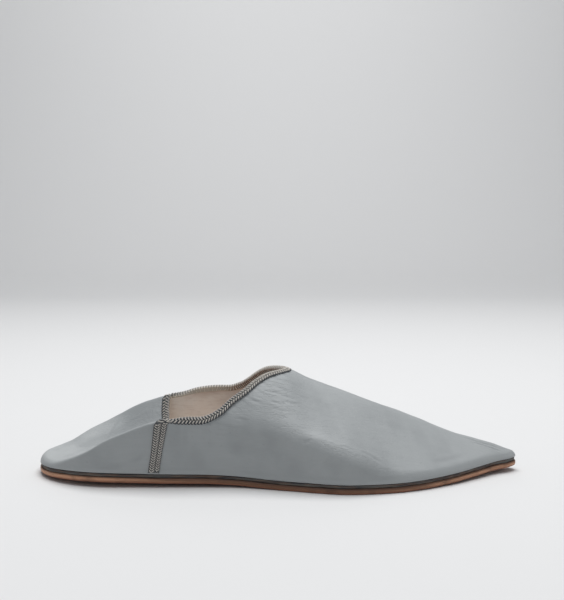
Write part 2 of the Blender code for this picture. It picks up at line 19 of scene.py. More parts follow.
import bpy
import numpy as np
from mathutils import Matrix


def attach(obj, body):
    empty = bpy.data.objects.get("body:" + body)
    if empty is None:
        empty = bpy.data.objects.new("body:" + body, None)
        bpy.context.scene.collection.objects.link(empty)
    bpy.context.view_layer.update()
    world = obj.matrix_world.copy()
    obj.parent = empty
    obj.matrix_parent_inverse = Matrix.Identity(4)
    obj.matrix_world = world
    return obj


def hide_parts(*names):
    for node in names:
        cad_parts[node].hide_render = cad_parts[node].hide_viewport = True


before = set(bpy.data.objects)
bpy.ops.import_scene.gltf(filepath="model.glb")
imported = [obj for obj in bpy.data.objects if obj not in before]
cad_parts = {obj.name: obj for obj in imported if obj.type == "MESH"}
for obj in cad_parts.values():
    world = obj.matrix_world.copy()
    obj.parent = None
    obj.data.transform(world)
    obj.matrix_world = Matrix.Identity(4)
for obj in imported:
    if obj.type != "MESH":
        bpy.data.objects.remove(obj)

LOG = logging.getLogger("babouche")
Array = np.ndarray
Span = tuple[float, ...]
Rows = tuple[Span, ...]
Mesh = tuple[Array, list[Array]]
Triple = tuple[float, float, float]
Colour = Triple
Output = bpy.types.NodeSocket
Value = Output | Triple | float | None

MM = 0.001
TINY = 1e-9
TO_MIDDLE = np.array([-0.125, 0.0015, 0.0])
STATIONS = np.linspace(0.0, 1.0, 501)
SMOOTHING = 7
BLOCKS = 40
TUBE_SIDES = 8
STITCH_PLACES = 6
END_CUT = 0.35

# Half widths of the sole, as shares of the width at that station
OUTLINE: Rows = (
    # station, outer, inner
    (0.000, 0.515, 0.485),
    (0.340, 0.515, 0.485),
    (0.440, 0.487, 0.452),
    (0.540, 0.496, 0.470),
    (0.640, 0.517, 0.483),
    (0.694, 0.501, 0.476),
    (0.734, 0.477, 0.457),
    (0.774, 0.436, 0.423),
    (0.862, 0.297, 0.293),
    (0.909, 0.196, 0.195),
    (0.958, 0.095, 0.095),
    (1.000, 0.048, 0.048),
)

# Lift of the sole's edge, as a share of the full cup
CUP: Rows = (
    # station, lift
    (0.00, 0.40),
    (0.04, 0.70),
    (0.08, 0.93),
    (0.14, 1.00),
    (0.25, 0.80),
    (0.34, 0.60),
    (0.42, 0.20),
    (0.49, 0.00),
    (1.00, 0.00),
)

# Sections of the upper: heights as shares of the flap, throat and side rises, bow of the roof
# between middle and edge, radius where roof and wall meet
SECTIONS: Rows = (
    # station, flap, throat, outer edge, inner edge, bow, shoulder
    (0.000, 0.34, 0.000, 0.138, 0.142, 1.90, 0.50),
    (0.040, 0.36, 0.000, 0.150, 0.205, 1.95, 0.30),
    (0.080, 0.44, 0.000, 0.278, 0.378, 1.95, 0.24),
    (0.118, 0.54, 0.000, 0.430, 0.527, 1.95, 0.24),
    (0.160, 0.67, 0.000, 0.650, 0.720, 1.85, 0.28),
    (0.192, 0.78, 0.000, 0.777, 0.862, 1.80, 0.34),
    (0.264, 1.00, 0.000, 1.006, 1.060, 1.75, 0.46),
    (0.278, 1.05, 0.000, 1.022, 1.084, 1.75, 0.48),
    (0.298, 0.60, 0.450, 1.027, 1.108, 1.75, 0.48),
    (0.320, 0.05, 0.950, 1.015, 1.130, 1.90, 0.46),
    (0.352, 0.00, 1.020, 0.965, 1.140, 2.05, 0.46),
    (0.392, 0.00, 1.070, 0.905, 1.110, 2.05, 0.40),
    (0.414, 0.00, 1.078, 0.880, 1.060, 2.00, 0.36),
    (0.440, 0.00, 1.072, 0.850, 0.970, 1.95, 0.35),
    (0.476, 0.00, 1.050, 0.825, 0.900, 1.85, 0.38),
    (0.500, 0.00, 1.022, 0.815, 0.860, 1.70, 0.42),
    (0.519, 0.00, 1.000, 0.785, 0.820, 1.52, 0.46),
    (0.558, 0.00, 0.907, 0.693, 0.700, 1.25, 0.52),
    (0.596, 0.00, 0.833, 0.600, 0.610, 1.14, 0.58),
    (0.634, 0.00, 0.763, 0.490, 0.510, 1.08, 0.64),
    (0.671, 0.00, 0.695, 0.350, 0.380, 1.05, 0.66),
    (0.708, 0.00, 0.628, 0.190, 0.210, 1.05, 0.50),
    (0.746, 0.00, 0.562, 0.112, 0.120, 1.05, 0.38),
    (0.796, 0.00, 0.453, 0.094, 0.096, 1.05, 0.33),
    (0.862, 0.00, 0.302, 0.090, 0.090, 1.05, 0.31),
    (0.916, 0.00, 0.212, 0.088, 0.088, 1.05, 0.30),
    (0.953, 0.00, 0.148, 0.086, 0.086, 1.10, 0.30),
    (0.986, 0.00, 0.075, 0.084, 0.084, 1.20, 0.30),
    (1.000, 0.00, 0.050, 0.082, 0.082, 1.20, 0.30),
)

# Edge of the leather around the foot opening: where each point of the outline leads to, as a
# station and as a share of the half width there
OPENING: Rows = (
    # share of outline, station outer, width outer, station inner, width inner
    (0.000, 0.266, 0.000, 0.266, 0.000),
    (0.100, 0.268, 0.330, 0.263, 0.330),
    (0.166, 0.270, 0.545, 0.260, 0.545),
    (0.220, 0.273, 0.715, 0.257, 0.715),
    (0.262, 0.275, 0.860, 0.256, 0.860),
    (0.290, 0.280, 0.955, 0.259, 0.955),
    (0.306, 0.290, 0.976, 0.274, 0.976),
    (0.336, 0.315, 0.976, 0.308, 0.976),
    (0.371, 0.350, 0.965, 0.352, 0.968),
    (0.400, 0.378, 0.910, 0.390, 0.962),
    (0.445, 0.403, 0.790, 0.412, 0.905),
    (0.530, 0.430, 0.660, 0.433, 0.770),
    (0.608, 0.449, 0.530, 0.452, 0.610),
    (0.717, 0.473, 0.360, 0.475, 0.410),
    (0.806, 0.491, 0.240, 0.493, 0.270),
    (0.880, 0.504, 0.140, 0.505, 0.160),
    (0.940, 0.511, 0.070, 0.511, 0.080),
    (1.000, 0.513, 0.000, 0.513, 0.000),
)

# Creases pressed into the leather by wear, in millimetres from the heel end, the middle and the
# floor
CREASES: Rows = (
    # start x, y, z, middle x, y, z, end x, y, z, half width, depth
    (111.4, -26.0, 42.5, 114.4, -27.0, 41.5, 117.9, -27.9, 40.6, 0.75, 0.13),
    (120.9, -26.7, 41.9, 123.3, -27.1, 41.2, 126.3, -27.4, 40.5, 0.70, 0.13),
    (118.3, -22.4, 46.3, 121.8, -22.7, 45.6, 125.8, -22.5, 44.9, 0.70, 0.11),
    (122.8, -19.7, 47.9, 126.3, -19.7, 46.9, 130.3, -19.8, 45.3, 0.80, 0.10),
    (126.3, -23.2, 44.2, 129.8, -23.3, 43.0, 133.8, -22.2, 42.0, 0.80, 0.09),
    (127.3, -26.1, 41.5, 131.3, -25.6, 40.7, 135.3, -24.0, 40.1, 0.80, 0.10),
    (104.7, -31.3, 34.8, 107.7, -32.0, 33.7, 110.6, -32.7, 32.9, 0.70, 0.11),
    (121.4, -29.6, 38.7, 125.8, -30.3, 37.9, 130.7, -30.1, 37.1, 0.90, 0.09),
    (134.9, -19.2, 43.5, 137.9, -18.9, 42.1, 140.9, -18.1, 41.2, 0.80, 0.07),
    (136.9, -41.0, 23.5, 138.9, -40.8, 24.9, 141.3, -40.4, 25.8, 0.60, 0.15),
    (92.7, -32.1, 32.9, 100.5, -32.5, 30.4, 109.3, -32.9, 29.7, 0.81, 0.12),
    (85.9, -32.9, 31.0, 92.9, -32.9, 27.4, 100.6, -33.1, 25.5, 0.93, 0.11),
    (134.3, -38.3, 26.5, 140.0, -39.2, 25.5, 144.1, -41.2, 22.7, 0.62, 0.22),
    (137.6, -37.7, 27.7, 141.7, -39.1, 25.8, 145.5, -40.1, 24.6, 0.56, 0.20),
    (153.9, -41.2, 22.6, 158.1, -41.0, 21.8, 161.8, -41.5, 20.0, 0.62, 0.21),
    (147.2, -40.2, 24.5, 152.5, -41.6, 22.3, 154.7, -43.8, 18.8, 0.68, 0.20),
    (164.4, -40.0, 20.1, 170.3, -39.4, 17.4, 176.3, -39.9, 13.6, 0.87, 0.20),
    (126.4, -36.2, 28.8, 130.5, -37.8, 26.6, 134.5, -39.6, 23.6, 0.68, 0.13),
    (135.8, -17.0, 44.5, 156.2, -19.4, 35.1, 176.8, -19.2, 26.4, 3.04, 0.06),
    (151.0, -15.0, 39.3, 177.3, -14.2, 29.1, 202.5, -14.3, 19.5, 3.42, 0.06),
    (16.0, 5.0, 10.5, 38.0, 13.0, 15.5, 63.0, 21.0, 25.5, 7.00, 0.50),
    (219.2, -3.2, 18.5, 230.7, -3.0, 15.2, 242.4, -2.7, 11.6, 0.56, 0.24),
    (225.2, -5.2, 15.8, 234.5, -4.4, 13.2, 243.3, -5.1, 9.9, 0.56, 0.22),
    (200.8, -29.2, 11.5, 211.4, -22.7, 11.6, 223.1, -13.9, 12.2, 1.36, 0.10),
    (37.4, -33.1, 9.2, 52.6, -33.5, 13.2, 61.0, -33.3, 17.9, 1.49, 0.13),
    (81.9, -33.2, 23.1, 100.6, -33.3, 20.2, 120.7, -36.8, 20.3, 3.80, 0.12),
    (126.6, -38.6, 15.7, 154.9, -45.5, 12.3, 184.0, -39.7, 10.3, 4.75, 0.12),
    (53.5, 26.9, 30.0, 48.6, 23.2, 25.8, 45.3, 16.3, 20.6, 0.81, 0.14),
    (58.9, 28.2, 32.2, 56.9, 22.4, 27.8, 55.1, 17.1, 23.8, 0.74, 0.13),
    (37.1, 25.4, 22.1, 33.9, 19.0, 17.9, 31.2, 10.4, 14.3, 0.99, 0.15),
    (23.9, 8.7, 12.6, 38.4, 18.2, 19.0, 56.9, 22.4, 27.8, 1.12, 0.13),
    (62.0, -22.0, 26.5, 56.0, -18.0, 23.0, 52.0, -9.0, 19.6, 0.74, 0.11),
    (108.0, 27.5, 43.0, 113.5, 29.5, 39.0, 118.0, 32.0, 33.5, 0.74, 0.12),
    (112.0, 24.5, 46.0, 119.0, 27.0, 42.0, 125.0, 30.5, 37.0, 0.74, 0.12),
    (117.0, 19.5, 49.5, 125.0, 21.5, 46.0, 133.0, 22.5, 42.0, 0.81, 0.10),
    (90.0, 31.5, 34.5, 96.0, 32.0, 31.0, 104.0, 32.3, 29.5, 0.81, 0.10),
    (133.0, 36.0, 27.0, 139.0, 37.5, 25.0, 145.0, 39.0, 22.5, 0.68, 0.21),
    (150.0, 39.0, 23.0, 157.0, 39.8, 21.0, 163.0, 40.0, 19.0, 0.68, 0.20),
    (138.0, 16.0, 44.0, 158.0, 18.0, 35.0, 179.0, 18.0, 26.0, 3.04, 0.06),
    (165.0, 9.0, 35.5, 186.0, 9.0, 27.5, 206.0, 8.0, 20.0, 3.23, 0.06),
    (84.0, 32.0, 22.0, 102.0, 32.0, 20.0, 122.0, 35.0, 20.0, 3.80, 0.12),
    (130.0, 38.0, 15.0, 156.0, 42.0, 12.0, 182.0, 37.5, 10.0, 4.75, 0.12),
    (221.0, 4.0, 17.5, 232.0, 3.6, 14.6, 243.0, 3.0, 11.0, 0.56, 0.22),
)

# Long soft waves of the leather: turns per metre along x, y and z, start of the wave, height
WAVES: Rows = (
    # x, y, z, phase, height in millimetres
    (23.0, 11.0, 17.0, 0.4, 0.085),
    (41.0, -19.0, 29.0, 1.9, 0.050),
    (67.0, 37.0, -23.0, 3.1, 0.032),
    (97.0, -61.0, 47.0, 4.4, 0.020),
    (151.0, 83.0, -71.0, 0.9, 0.012),
    (31.0, 89.0, 113.0, 2.2, 0.014),
)

# Side of the outsole from the underside up: how far in from the outline, share of its height
TREAD_PROFILE: Rows = (
    # inset in millimetres, height
    (1.30, 0.000),
    (0.85, 0.020),
    (0.50, 0.080),
    (0.24, 0.180),
    (0.10, 0.300),
    (0.03, 0.420),
    (0.00, 0.520),
    (0.02, 0.600),
    (0.10, 0.650),
    (0.12, 0.680),
    (0.06, 0.720),
    (0.04, 0.790),
    (0.08, 0.860),
    (0.18, 0.930),
    (0.36, 0.980),
    (0.60, 1.000),
)

MIDSOLE_PROFILE: Rows = (
    # inset in millimetres, height
    (1.20, 0.000),
    (0.90, 0.040),
    (0.72, 0.200),
    (0.66, 0.400),
    (0.74, 0.520),
    (0.66, 0.640),
    (0.70, 0.820),
    (0.90, 0.950),
    (1.20, 1.000),
)

INSOLE_PROFILE: Rows = (
    # inset in millimetres, height
    (0.50, 0.000),
    (0.15, 0.120),
    (0.00, 0.350),
    (0.03, 0.700),
    (0.14, 0.920),
    (0.40, 1.000),
)

SOLE_RINGS = (0.93, 0.84, 0.73, 0.62, 0.50, 0.35, 0.20)


class Side(Enum):
    """Side of the foot, by the sign of Y."""

    OUTER = -1.0
    INNER = 1.0


class Slot(Enum):
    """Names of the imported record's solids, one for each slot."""

    OUTSOLE = "outsole"
    MIDSOLE = "midsole"
    INSOLE = "insole"
    UPPER = "upper"
    THROAT = "throat_binding"
    HEEL = "heel_binding"
    SEAM_OUTER = "seam_braid_outer"
    SEAM_INNER = "seam_braid_inner"


def cubic(t: Array, start: Array, end: Array, leave: Array, arrive: Array) -> Array:
    """Cubic from start to end, with the steepness leave at t = 0 and arrive at t = 1."""
    ends = start * (1.0 + 2.0 * t) * (1.0 - t) ** 2 + end * t * t * (3.0 - 2.0 * t)
    return ends + leave * t * (1.0 - t) ** 2 + arrive * t * t * (t - 1.0)


def smooth_curve(rows: Rows, column: int) -> Array:
    """Reads one column of a table as a smooth curve on the evenly spaced STATIONS.

    A cubic through the rows keeps each stretch rising or falling as its ends do, and a short
    bell-shaped average then softens it.

    Args:
        rows: Table whose first column is the station, from 0 to 1.
        column: Column to read.

    Returns:
        Value at each of the STATIONS.
    """
    x = np.array([row[0] for row in rows])
    y = np.array([row[column] for row in rows])
    width = np.diff(x)
    slope = np.diff(y) / width
    tangent = np.zeros(len(x))
    same = slope[:-1] * slope[1:] > 0.0
    weight_a = 2.0 * width[1:] + width[:-1]
    weight_b = width[1:] + 2.0 * width[:-1]
    safe_a = np.where(same, slope[:-1], 1.0)
    safe_b = np.where(same, slope[1:], 1.0)
    mean = (weight_a + weight_b) / (weight_a / safe_a + weight_b / safe_b)
    tangent[1:-1] = np.where(same, mean, 0.0)
    tangent[0] = slope[0]
    tangent[-1] = slope[-1]
    span = np.clip(np.searchsorted(x, STATIONS, side="right") - 1, 0, len(x) - 2)
    t = (STATIONS - x[span]) / width[span]
    leave, arrive = width[span] * tangent[span], width[span] * tangent[span + 1]
    values = cubic(t, y[span], y[span + 1], leave, arrive)
    kernel = np.hanning(2 * SMOOTHING + 3)[1:-1]
    padded = np.pad(values, SMOOTHING, mode="reflect", reflect_type="odd")
    return np.convolve(padded, kernel / kernel.sum(), mode="valid")


def smooth_curves(rows: Rows) -> list[Array]:
    """Every column of a table but the first as a smooth curve."""
    return [smooth_curve(rows, column) for column in range(1, len(rows[0]))]


def at(values: Array, station: Array) -> Array:
    """Value of a curve at stations from 0 (heel) to 1 (toe)."""
    return np.interp(station, STATIONS, values)


def ramp(value: Array, low: float, high: float) -> Array:
    """Smooth step from 0 at low to 1 at high."""
    t = np.clip((value - low) / (high - low), 0.0, 1.0)
    return t * t * (3.0 - 2.0 * t)


def window(value: Array, start: float, full: float, fading: float, end: float) -> Array:
    """Smooth rise from 0 at start to 1 at full, and smooth fall from fading to 0 at end."""
    return ramp(value, start, full) * (1.0 - ramp(value, fading, end))


def bell(value: Array, place: Array | float, width: float) -> Array:
    """Bell curve of height 1 at a place."""
    return np.exp(-(((value - place) / width) ** 2))


def unit(vectors: Array) -> Array:
    """Vectors scaled to length one."""
    return vectors / np.maximum(np.linalg.norm(vectors, axis=-1, keepdims=True), TINY)


def lengths(points: Array) -> Array:
    """Distance travelled along each column of points."""
    steps = np.linalg.norm(np.diff(points, axis=1), axis=2)
    return np.concatenate([np.zeros((len(points), 1)), np.cumsum(steps, axis=1)], axis=1)


def resample(values: Array, measure: Array, wanted: Array) -> Array:
    """Reads each column's values where its rising measure reaches the wanted figures.

    Args:
        values: Values, by column, row and axis.
        measure: Rising measure, by column and row.
        wanted: Figures to reach, by column and new row.

    Returns:
        Values by column, new row and axis, with straight lines between the old rows.
    """
    index = (measure[:, None, :] <= wanted[:, :, None]).sum(axis=2) - 1
    index = np.clip(index, 0, measure.shape[1] - 2)
    low = np.take_along_axis(measure, index, axis=1)
    high = np.take_along_axis(measure, index + 1, axis=1)
    share = np.clip((wanted - low) / np.maximum(high - low, TINY), 0.0, 1.0)[..., None]
    first = np.take_along_axis(values, index[..., None], axis=1)
    second = np.take_along_axis(values, index[..., None] + 1, axis=1)
    return first + (second - first) * share


def resample_skin(skin: tuple[Array, Array], measure: Array, wanted: Array) -> tuple[Array, Array]:
    """Points and unit normals where each column's rising measure reaches the wanted figures."""
    points, normals = skin
    return resample(points, measure, wanted), unit(resample(normals, measure, wanted))


def alternate(count: int) -> Array:
    """0 and 1 in turn."""
    return (np.arange(count) % 2).astype(float)


def between(ends: Span, t: Array) -> Array:
    """Figures from the first end, at 0, to the second, at 1."""
    return ends[0] + (ends[1] - ends[0]) * t


@dataclass
class Last:
    """Form that the slipper is made on: its plan, the sole's lift and the upper's roof."""

    length: float = 0.250
    ball_width: float = 0.090
    heel_width: float = 0.066
    heel_end: float = 0.045
    toe_end: float = 0.007
    waist_station: float = 0.34
    ball_station: float = 0.64
    edge_cup: float = 0.0026
    cup_start: float = 0.35
    toe_spring: float = 0.0026
    spring_station: float = 0.74
    spring_power: float = 1.5
    waist_arch: float = 0.0005
    arch_start: float = 0.27
    arch_end: float = 0.53
    spine_start: float = 0.12
    spine_end: float = 0.80
    seat: float = 0.0048
    foot_inset: float = 0.0003
    wall_lean: float = 0.0008
    throat_rise: float = 0.0486
    side_rise: float = 0.0300
    flap_rise: float = 0.0147
    ridge_softness: float = 0.085
    narrowest: float = 0.0016
    shoulder: float = 0.0080

    def __post_init__(self) -> None:
        """Reads the tables as curves."""
        self.outer_width, self.inner_width = smooth_curves(OUTLINE)
        (self.cup,) = smooth_curves(CUP)
        sections = smooth_curves(SECTIONS)
        self.flap, self.throat, self.outer_edge, self.inner_edge, self.bow, self.bend = sections
        self.opening = smooth_curves(OPENING)

    def on_side(self, outer_curve: Array, inner_curve: Array, x: Array, inner: Array) -> Array:
        """Value at x of the curve that belongs to each point's side."""
        station = x / self.length
        return np.where(inner, at(inner_curve, station), at(outer_curve, station))

    def half_width(self, x: Array, inner: Array) -> Array:
        """Half width of the sole at x: table share of the local width, rounded at both ends.

        Args:
            x: Distances from the heel end.
            inner: Which points lie on the inner side.

        Returns:
            Half widths, with the shape of x.
        """
        widening = ramp(x / self.length, self.waist_station, self.ball_station)
        width = between((self.heel_width, self.ball_width), widening)
        share = self.on_side(self.outer_width, self.inner_width, x, inner)
        heel = 1.0 - np.clip(1.0 - x / self.heel_end, 0.0, 1.0) ** 2
        toe = 1.0 - np.clip(1.0 - (self.length - x) / self.toe_end, 0.0, 1.0) ** 2
        return width * share * np.sqrt(heel * toe)

    def lift(self, x: Array, share: Array) -> Array:
        """Height of the underside: toe spring, plus waist arch, plus the lifted edge.

        Args:
            x: Distance from the heel end.
            share: Way from the spine, 0, to the edge, 1.

        Returns:
            Height above the floor.
        """
        station = x / self.length
        rest = 1.0 - self.spring_station
        spring = np.clip((station - self.spring_station) / rest, 0.0, 1.0)
        along = (station - self.arch_start) / (self.arch_end - self.arch_start)
        arch = np.sin(np.pi * np.clip(along, 0.0, 1.0)) ** 2
        edge = np.clip((share - self.cup_start) / (1.0 - self.cup_start), 0.0, 1.0)
        return (
            self.toe_spring * spring**self.spring_power
            + self.waist_arch * arch
            + self.edge_cup * at(self.cup, station) * edge**2
        )

    def lean(self, x: Array, inner: Array) -> Array:
        """How far the top of the wall stands inside its foot: more where the wall is taller."""
        return self.wall_lean * self.on_side(self.outer_edge, self.inner_edge, x, inner)

    def top_width(self, x: Array, inner: Array) -> Array:
        """Half width of the upper at the top of its wall."""
        return self.half_width(x, inner) - self.foot_inset - self.lean(x, inner)

    def roof(self, x: Array, y: Array) -> Array:
        """Height of the roof before its edge is rounded: middle height to edge height.

        The way between them is the share of the half width, softened at the ridge and raised
        to the bow of that station.

        Args:
            x: Distance from the heel end.
            y: Distance from the middle.

        Returns:
            Height above the floor.
        """
        station = x / self.length
        inner = y > 0.0
        half = self.top_width(np.clip(x, TINY, self.length - TINY), inner)
        share = np.clip(np.abs(y) / np.maximum(half, self.narrowest), 0.0, 1.0)
        low = self.ridge_softness
        soft = (np.sqrt(share**2 + low**2) - low) / (math.sqrt(1.0 + low**2) - low)
        middle = self.flap_rise * at(self.flap, station)
        middle = middle + self.throat_rise * at(self.throat, station)
        edge = self.side_rise * self.on_side(self.outer_edge, self.inner_edge, x, inner)
        base = self.lift(x, np.zeros_like(x)) + self.seat
        return base + middle + (edge - middle) * soft ** at(self.bow, station)


@dataclass
class Ring:
    """Ring of columns round the sole's edge, closer together where the outline turns."""

    last: Last
    steps: int
    turn_length: float = 0.012
    fine_steps: int = 4001
    probe: float = 1e-6

    def __post_init__(self) -> None:
        """Places the columns and works out their edge points, outward normals and spine."""
        last = self.last
        x = last.length * 0.5 * (1.0 - np.cos(np.linspace(0.0, np.pi, self.fine_steps)))
        y = 0.5 * (last.half_width(x, True) + last.half_width(x, False))
        length = np.concatenate([[0.0], np.cumsum(np.hypot(np.diff(x), np.diff(y)))])
        heading = np.arctan2(np.diff(y), np.diff(x))
        turn = np.concatenate([[0.0], np.cumsum(np.abs(np.diff(heading)))])
        measure = length + self.turn_length * np.append(turn, turn[-1])
        wanted = np.linspace(0.0, measure[-1], self.steps + 1)
        place = np.interp(wanted, measure, x)
        share = np.interp(wanted, measure, length / length[-1])
        self.toe = self.steps
        self.x = np.concatenate([place, place[-2:0:-1]])
        self.share = np.concatenate([share, share[-2:0:-1]])
        self.count = len(self.x)
        self.inner = np.arange(self.count) > self.steps
        side = np.where(self.inner, 1.0, -1.0)
        width = last.half_width(self.x, self.inner)
        width[[0, self.toe]] = 0.0
        safe = np.clip(self.x, self.probe, last.length - self.probe)
        ahead = last.half_width(safe + self.probe, self.inner)
        behind = last.half_width(safe - self.probe, self.inner)
        normal = np.stack([-(ahead - behind) / (2.0 * self.probe), side], axis=1)
        normal[0] = (-1.0, 0.0)
        normal[self.toe] = (1.0, 0.0)
        self.normal = unit(normal)
        self.edge = np.stack([self.x, side * width], axis=1)
        low, high = last.spine_start * last.length, last.spine_end * last.length
        self.spine = np.stack([np.clip(self.x, low, high), np.zeros(self.count)], axis=1)
        self.reach = np.linalg.norm(self.edge - self.spine, axis=1)

    def inset(self, distance: Array | float) -> Array:
        """Plan points at a distance inside the outline."""
        return self.edge - self.normal * np.broadcast_to(distance, (self.count,))[:, None]

    def sole_share(self, plan: Array) -> Array:
        """Way of plan points from the spine, 0, to the edge, 1."""
        return np.linalg.norm(plan - self.spine, axis=1) / self.reach

    def seat(self, plan: Array) -> Array:
        """Height of the top of the midsole under plan points, one for each column."""
        return self.last.lift(plan[:, 0], self.sole_share(plan)) + self.last.seat

    def opening_points(self, shift: float) -> Array:
        """Plan points of the leather's edge round the foot opening.

        Args:
            shift: Share of the outline by which every point moves along the edge.

        Returns:
            One plan point for each column.
        """
        share = self.share + np.where(self.inner, -shift, shift)
        beyond = (share < 0.0) | (share > 1.0)
        share = np.abs(share)
        share = np.where(share > 1.0, 2.0 - share, share)
        inner = self.inner ^ beyond
        outer_x, outer_reach, inner_x, inner_reach = (at(c, share) for c in self.last.opening)
        x = np.where(inner, inner_x, outer_x) * self.last.length
        reach = np.where(inner, inner_reach, outer_reach)
        y = np.where(inner, 1.0, -1.0) * self.last.top_width(x, inner) * reach
        return np.stack([x, y], axis=1)


def edge_distance(plan: Array, ring: Array, radius: Array) -> tuple[Array, Array]:
    """Measures plan points from the closed line at the top of the wall.

    Args:
        plan: Plan points, by column and row.
        ring: Plan points of the closed line.
        radius: Shoulder radius at each point of the line.

    Returns:
        Distance of each point from the line, and the radius at the nearest place on it.
    """
    span = np.roll(ring, -1, axis=0) - ring
    change = np.roll(radius, -1) - radius
    square = (span**2).sum(axis=1)
    gaps, bends = [], []
    for block in np.array_split(plan.reshape(-1, 2), BLOCKS):
        away = block[:, None] - ring[None]
        share = np.clip((away * span).sum(axis=2) / square, 0.0, 1.0)
        gap = np.linalg.norm(away - share[..., None] * span, axis=2)
        nearest = gap.argmin(axis=1)
        chosen = np.arange(len(nearest))
        gaps.append(gap[chosen, nearest])
        bends.append(radius[nearest] + change[nearest] * share[chosen, nearest])
    shape = plan.shape[:2]
    return np.concatenate(gaps).reshape(shape), np.concatenate(bends).reshape(shape)


@dataclass
class Skin:
    """Outside of the upper as a closed ring of columns, from the sole up to the opening."""

    ring: Ring
    rows: int = 128
    wall_samples: int = 16
    shoulder_samples: int = 30
    roof_samples: int = 96
    path_pull: float = 0.85
    start_pull: float = 1.4
    landing_pull: float = 0.045
    corner_step: float = 0.004
    least_rise: float = 0.0023
    shoulder_share: float = 0.92
    bend_limit: float = 0.9
    bend_share: float = 0.7
    turn_length: float = 0.018

    def __post_init__(self) -> None:
        """Works out the points, the outward normals and the distances up and down each column."""
        fine = self._columns()
        facing = self._normals(fine)
        travel = lengths(fine)
        heading = unit(np.diff(fine, axis=1))
        cosine = np.clip((heading[:, 1:] * heading[:, :-1]).sum(axis=2), -1.0, 1.0)
        turn = np.pad(np.arccos(cosine), ((0, 0), (1, 1)))
        measure = travel + self.turn_length * np.cumsum(turn, axis=1)
        wanted = measure[:, -1:] * np.linspace(0.0, 1.0, self.rows)
        self.points, self.normals = resample_skin((fine, facing), measure, wanted)
        self.travel = lengths(self.points)
        self.back = self.travel[:, -1:] - self.travel
        self.wall_foot = fine[:, 0]
        self.wall_top = fine[:, self.wall_samples]
        rim = self.points[:, -1]
        step = np.linalg.norm(np.roll(rim, -1, axis=0) - rim, axis=1)
        self.arc = np.concatenate([[0.0], np.cumsum(step)])

    def _columns(self) -> Array:
        """Columns of points: straight wall, then a plan curve to the opening under the roof.

        The plan curve leaves the wall square to the outline and lands square to the opening.
        Near the wall the roof is dropped by a quarter circle of the shoulder's radius.

        Returns:
            Points, by column, row and axis.
        """
        ring, last = self.ring, self.ring.last
        foot = ring.inset(last.foot_inset)
        top = ring.inset(last.foot_inset + last.lean(ring.x, ring.inner))
        target = ring.opening_points(0.0)
        target[[0, ring.toe], 1] = 0.0
        step = self.corner_step
        along = unit(ring.opening_points(step) - ring.opening_points(-step))
        arrive = np.stack([-along[:, 1], along[:, 0]], axis=1)
        reach = np.linalg.norm(target - top, axis=1)
        foot_z = ring.seat(foot)
        corner = last.roof(top[:, 0], top[:, 1])
        radius = last.shoulder * at(last.bend, ring.x / last.length)
        limit = self.shoulder_share * np.maximum(corner - foot_z, self.least_rise)
        radius = np.minimum(radius, limit)
        bend_reach = np.minimum(self.bend_limit * radius, self.bend_share * reach)
        angle = np.arccos(1.0 - bend_reach / radius)[:, None]
        turn = np.linspace(0.0, 1.0, self.shoulder_samples)
        bend = radius[:, None] * (1.0 - np.cos(angle * turn))
        rest = np.linspace(0.0, 1.0, self.roof_samples + 1)[1:]
        straight = bend_reach[:, None] + (reach - bend_reach)[:, None] * rest
        t = (np.concatenate([bend, straight], axis=1) / reach[:, None])[:, :, None]
        ahead = (target - top) / reach[:, None]
        pull = np.minimum(self.path_pull * reach, self.start_pull * np.abs(ring.edge[:, 1]))
        leave = ahead * (reach - pull)[:, None] - ring.normal * pull[:, None]
        pull = np.minimum(self.path_pull * reach, self.landing_pull)
        land = ahead * (reach - pull)[:, None] + arrive * pull[:, None]
        plan = cubic(t, top[:, None], target[:, None], leave[:, None], land[:, None])
        distance, bend_radius = edge_distance(plan, top, radius)
        inward = np.clip(bend_radius - distance, 0.0, None)
        drop = bend_radius - np.sqrt(np.maximum(bend_radius**2 - inward**2, 0.0))
        height = last.roof(plan[..., 0], plan[..., 1]) - drop
        roof = np.concatenate([plan, height[..., None]], axis=2)
        low = np.concatenate([foot, foot_z[:, None]], axis=1)
        up = np.linspace(0.0, 1.0, self.wall_samples + 1)[:-1]
        wall = low[:, None] + (roof[:, :1] - low[:, None]) * up[None, :, None]
        return np.concatenate([wall, roof], axis=1)

    @staticmethod
    def _normals(points: Array) -> Array:
        """Outward unit normals of a closed ring of columns."""
        across = np.roll(points, -1, axis=0) - np.roll(points, 1, axis=0)
        return unit(np.cross(across, np.gradient(points, axis=1)))

    def band(self, back: Array) -> tuple[Array, Array]:
        """Reads the skin at distances back from the opening's edge.

        Args:
            back: Distances down the leather from its edge, shared by all columns.

        Returns:
            Points and outward normals, by column, distance and axis.
        """
        wanted = self.travel[:, -1:] - back
        return resample_skin((self.points, self.normals), self.travel, wanted)

    def arc_at(self, share: float, side: Side) -> float:
        """Distance round the opening of the column at a share of the outline on one side.

        Args:
            share: Share of the outline from the heel end to the toe.
            side: Side that the column stands on.

        Returns:
            Distance along the edge of the opening.
        """
        half = self.ring.toe
        if side is Side.OUTER:
            return float(np.interp(share, self.ring.share[: half + 1], self.arc[: half + 1]))
        shares = np.append(self.ring.share[half:], 0.0)[::-1]
        return float(np.interp(share, shares, self.arc[half:][::-1]))


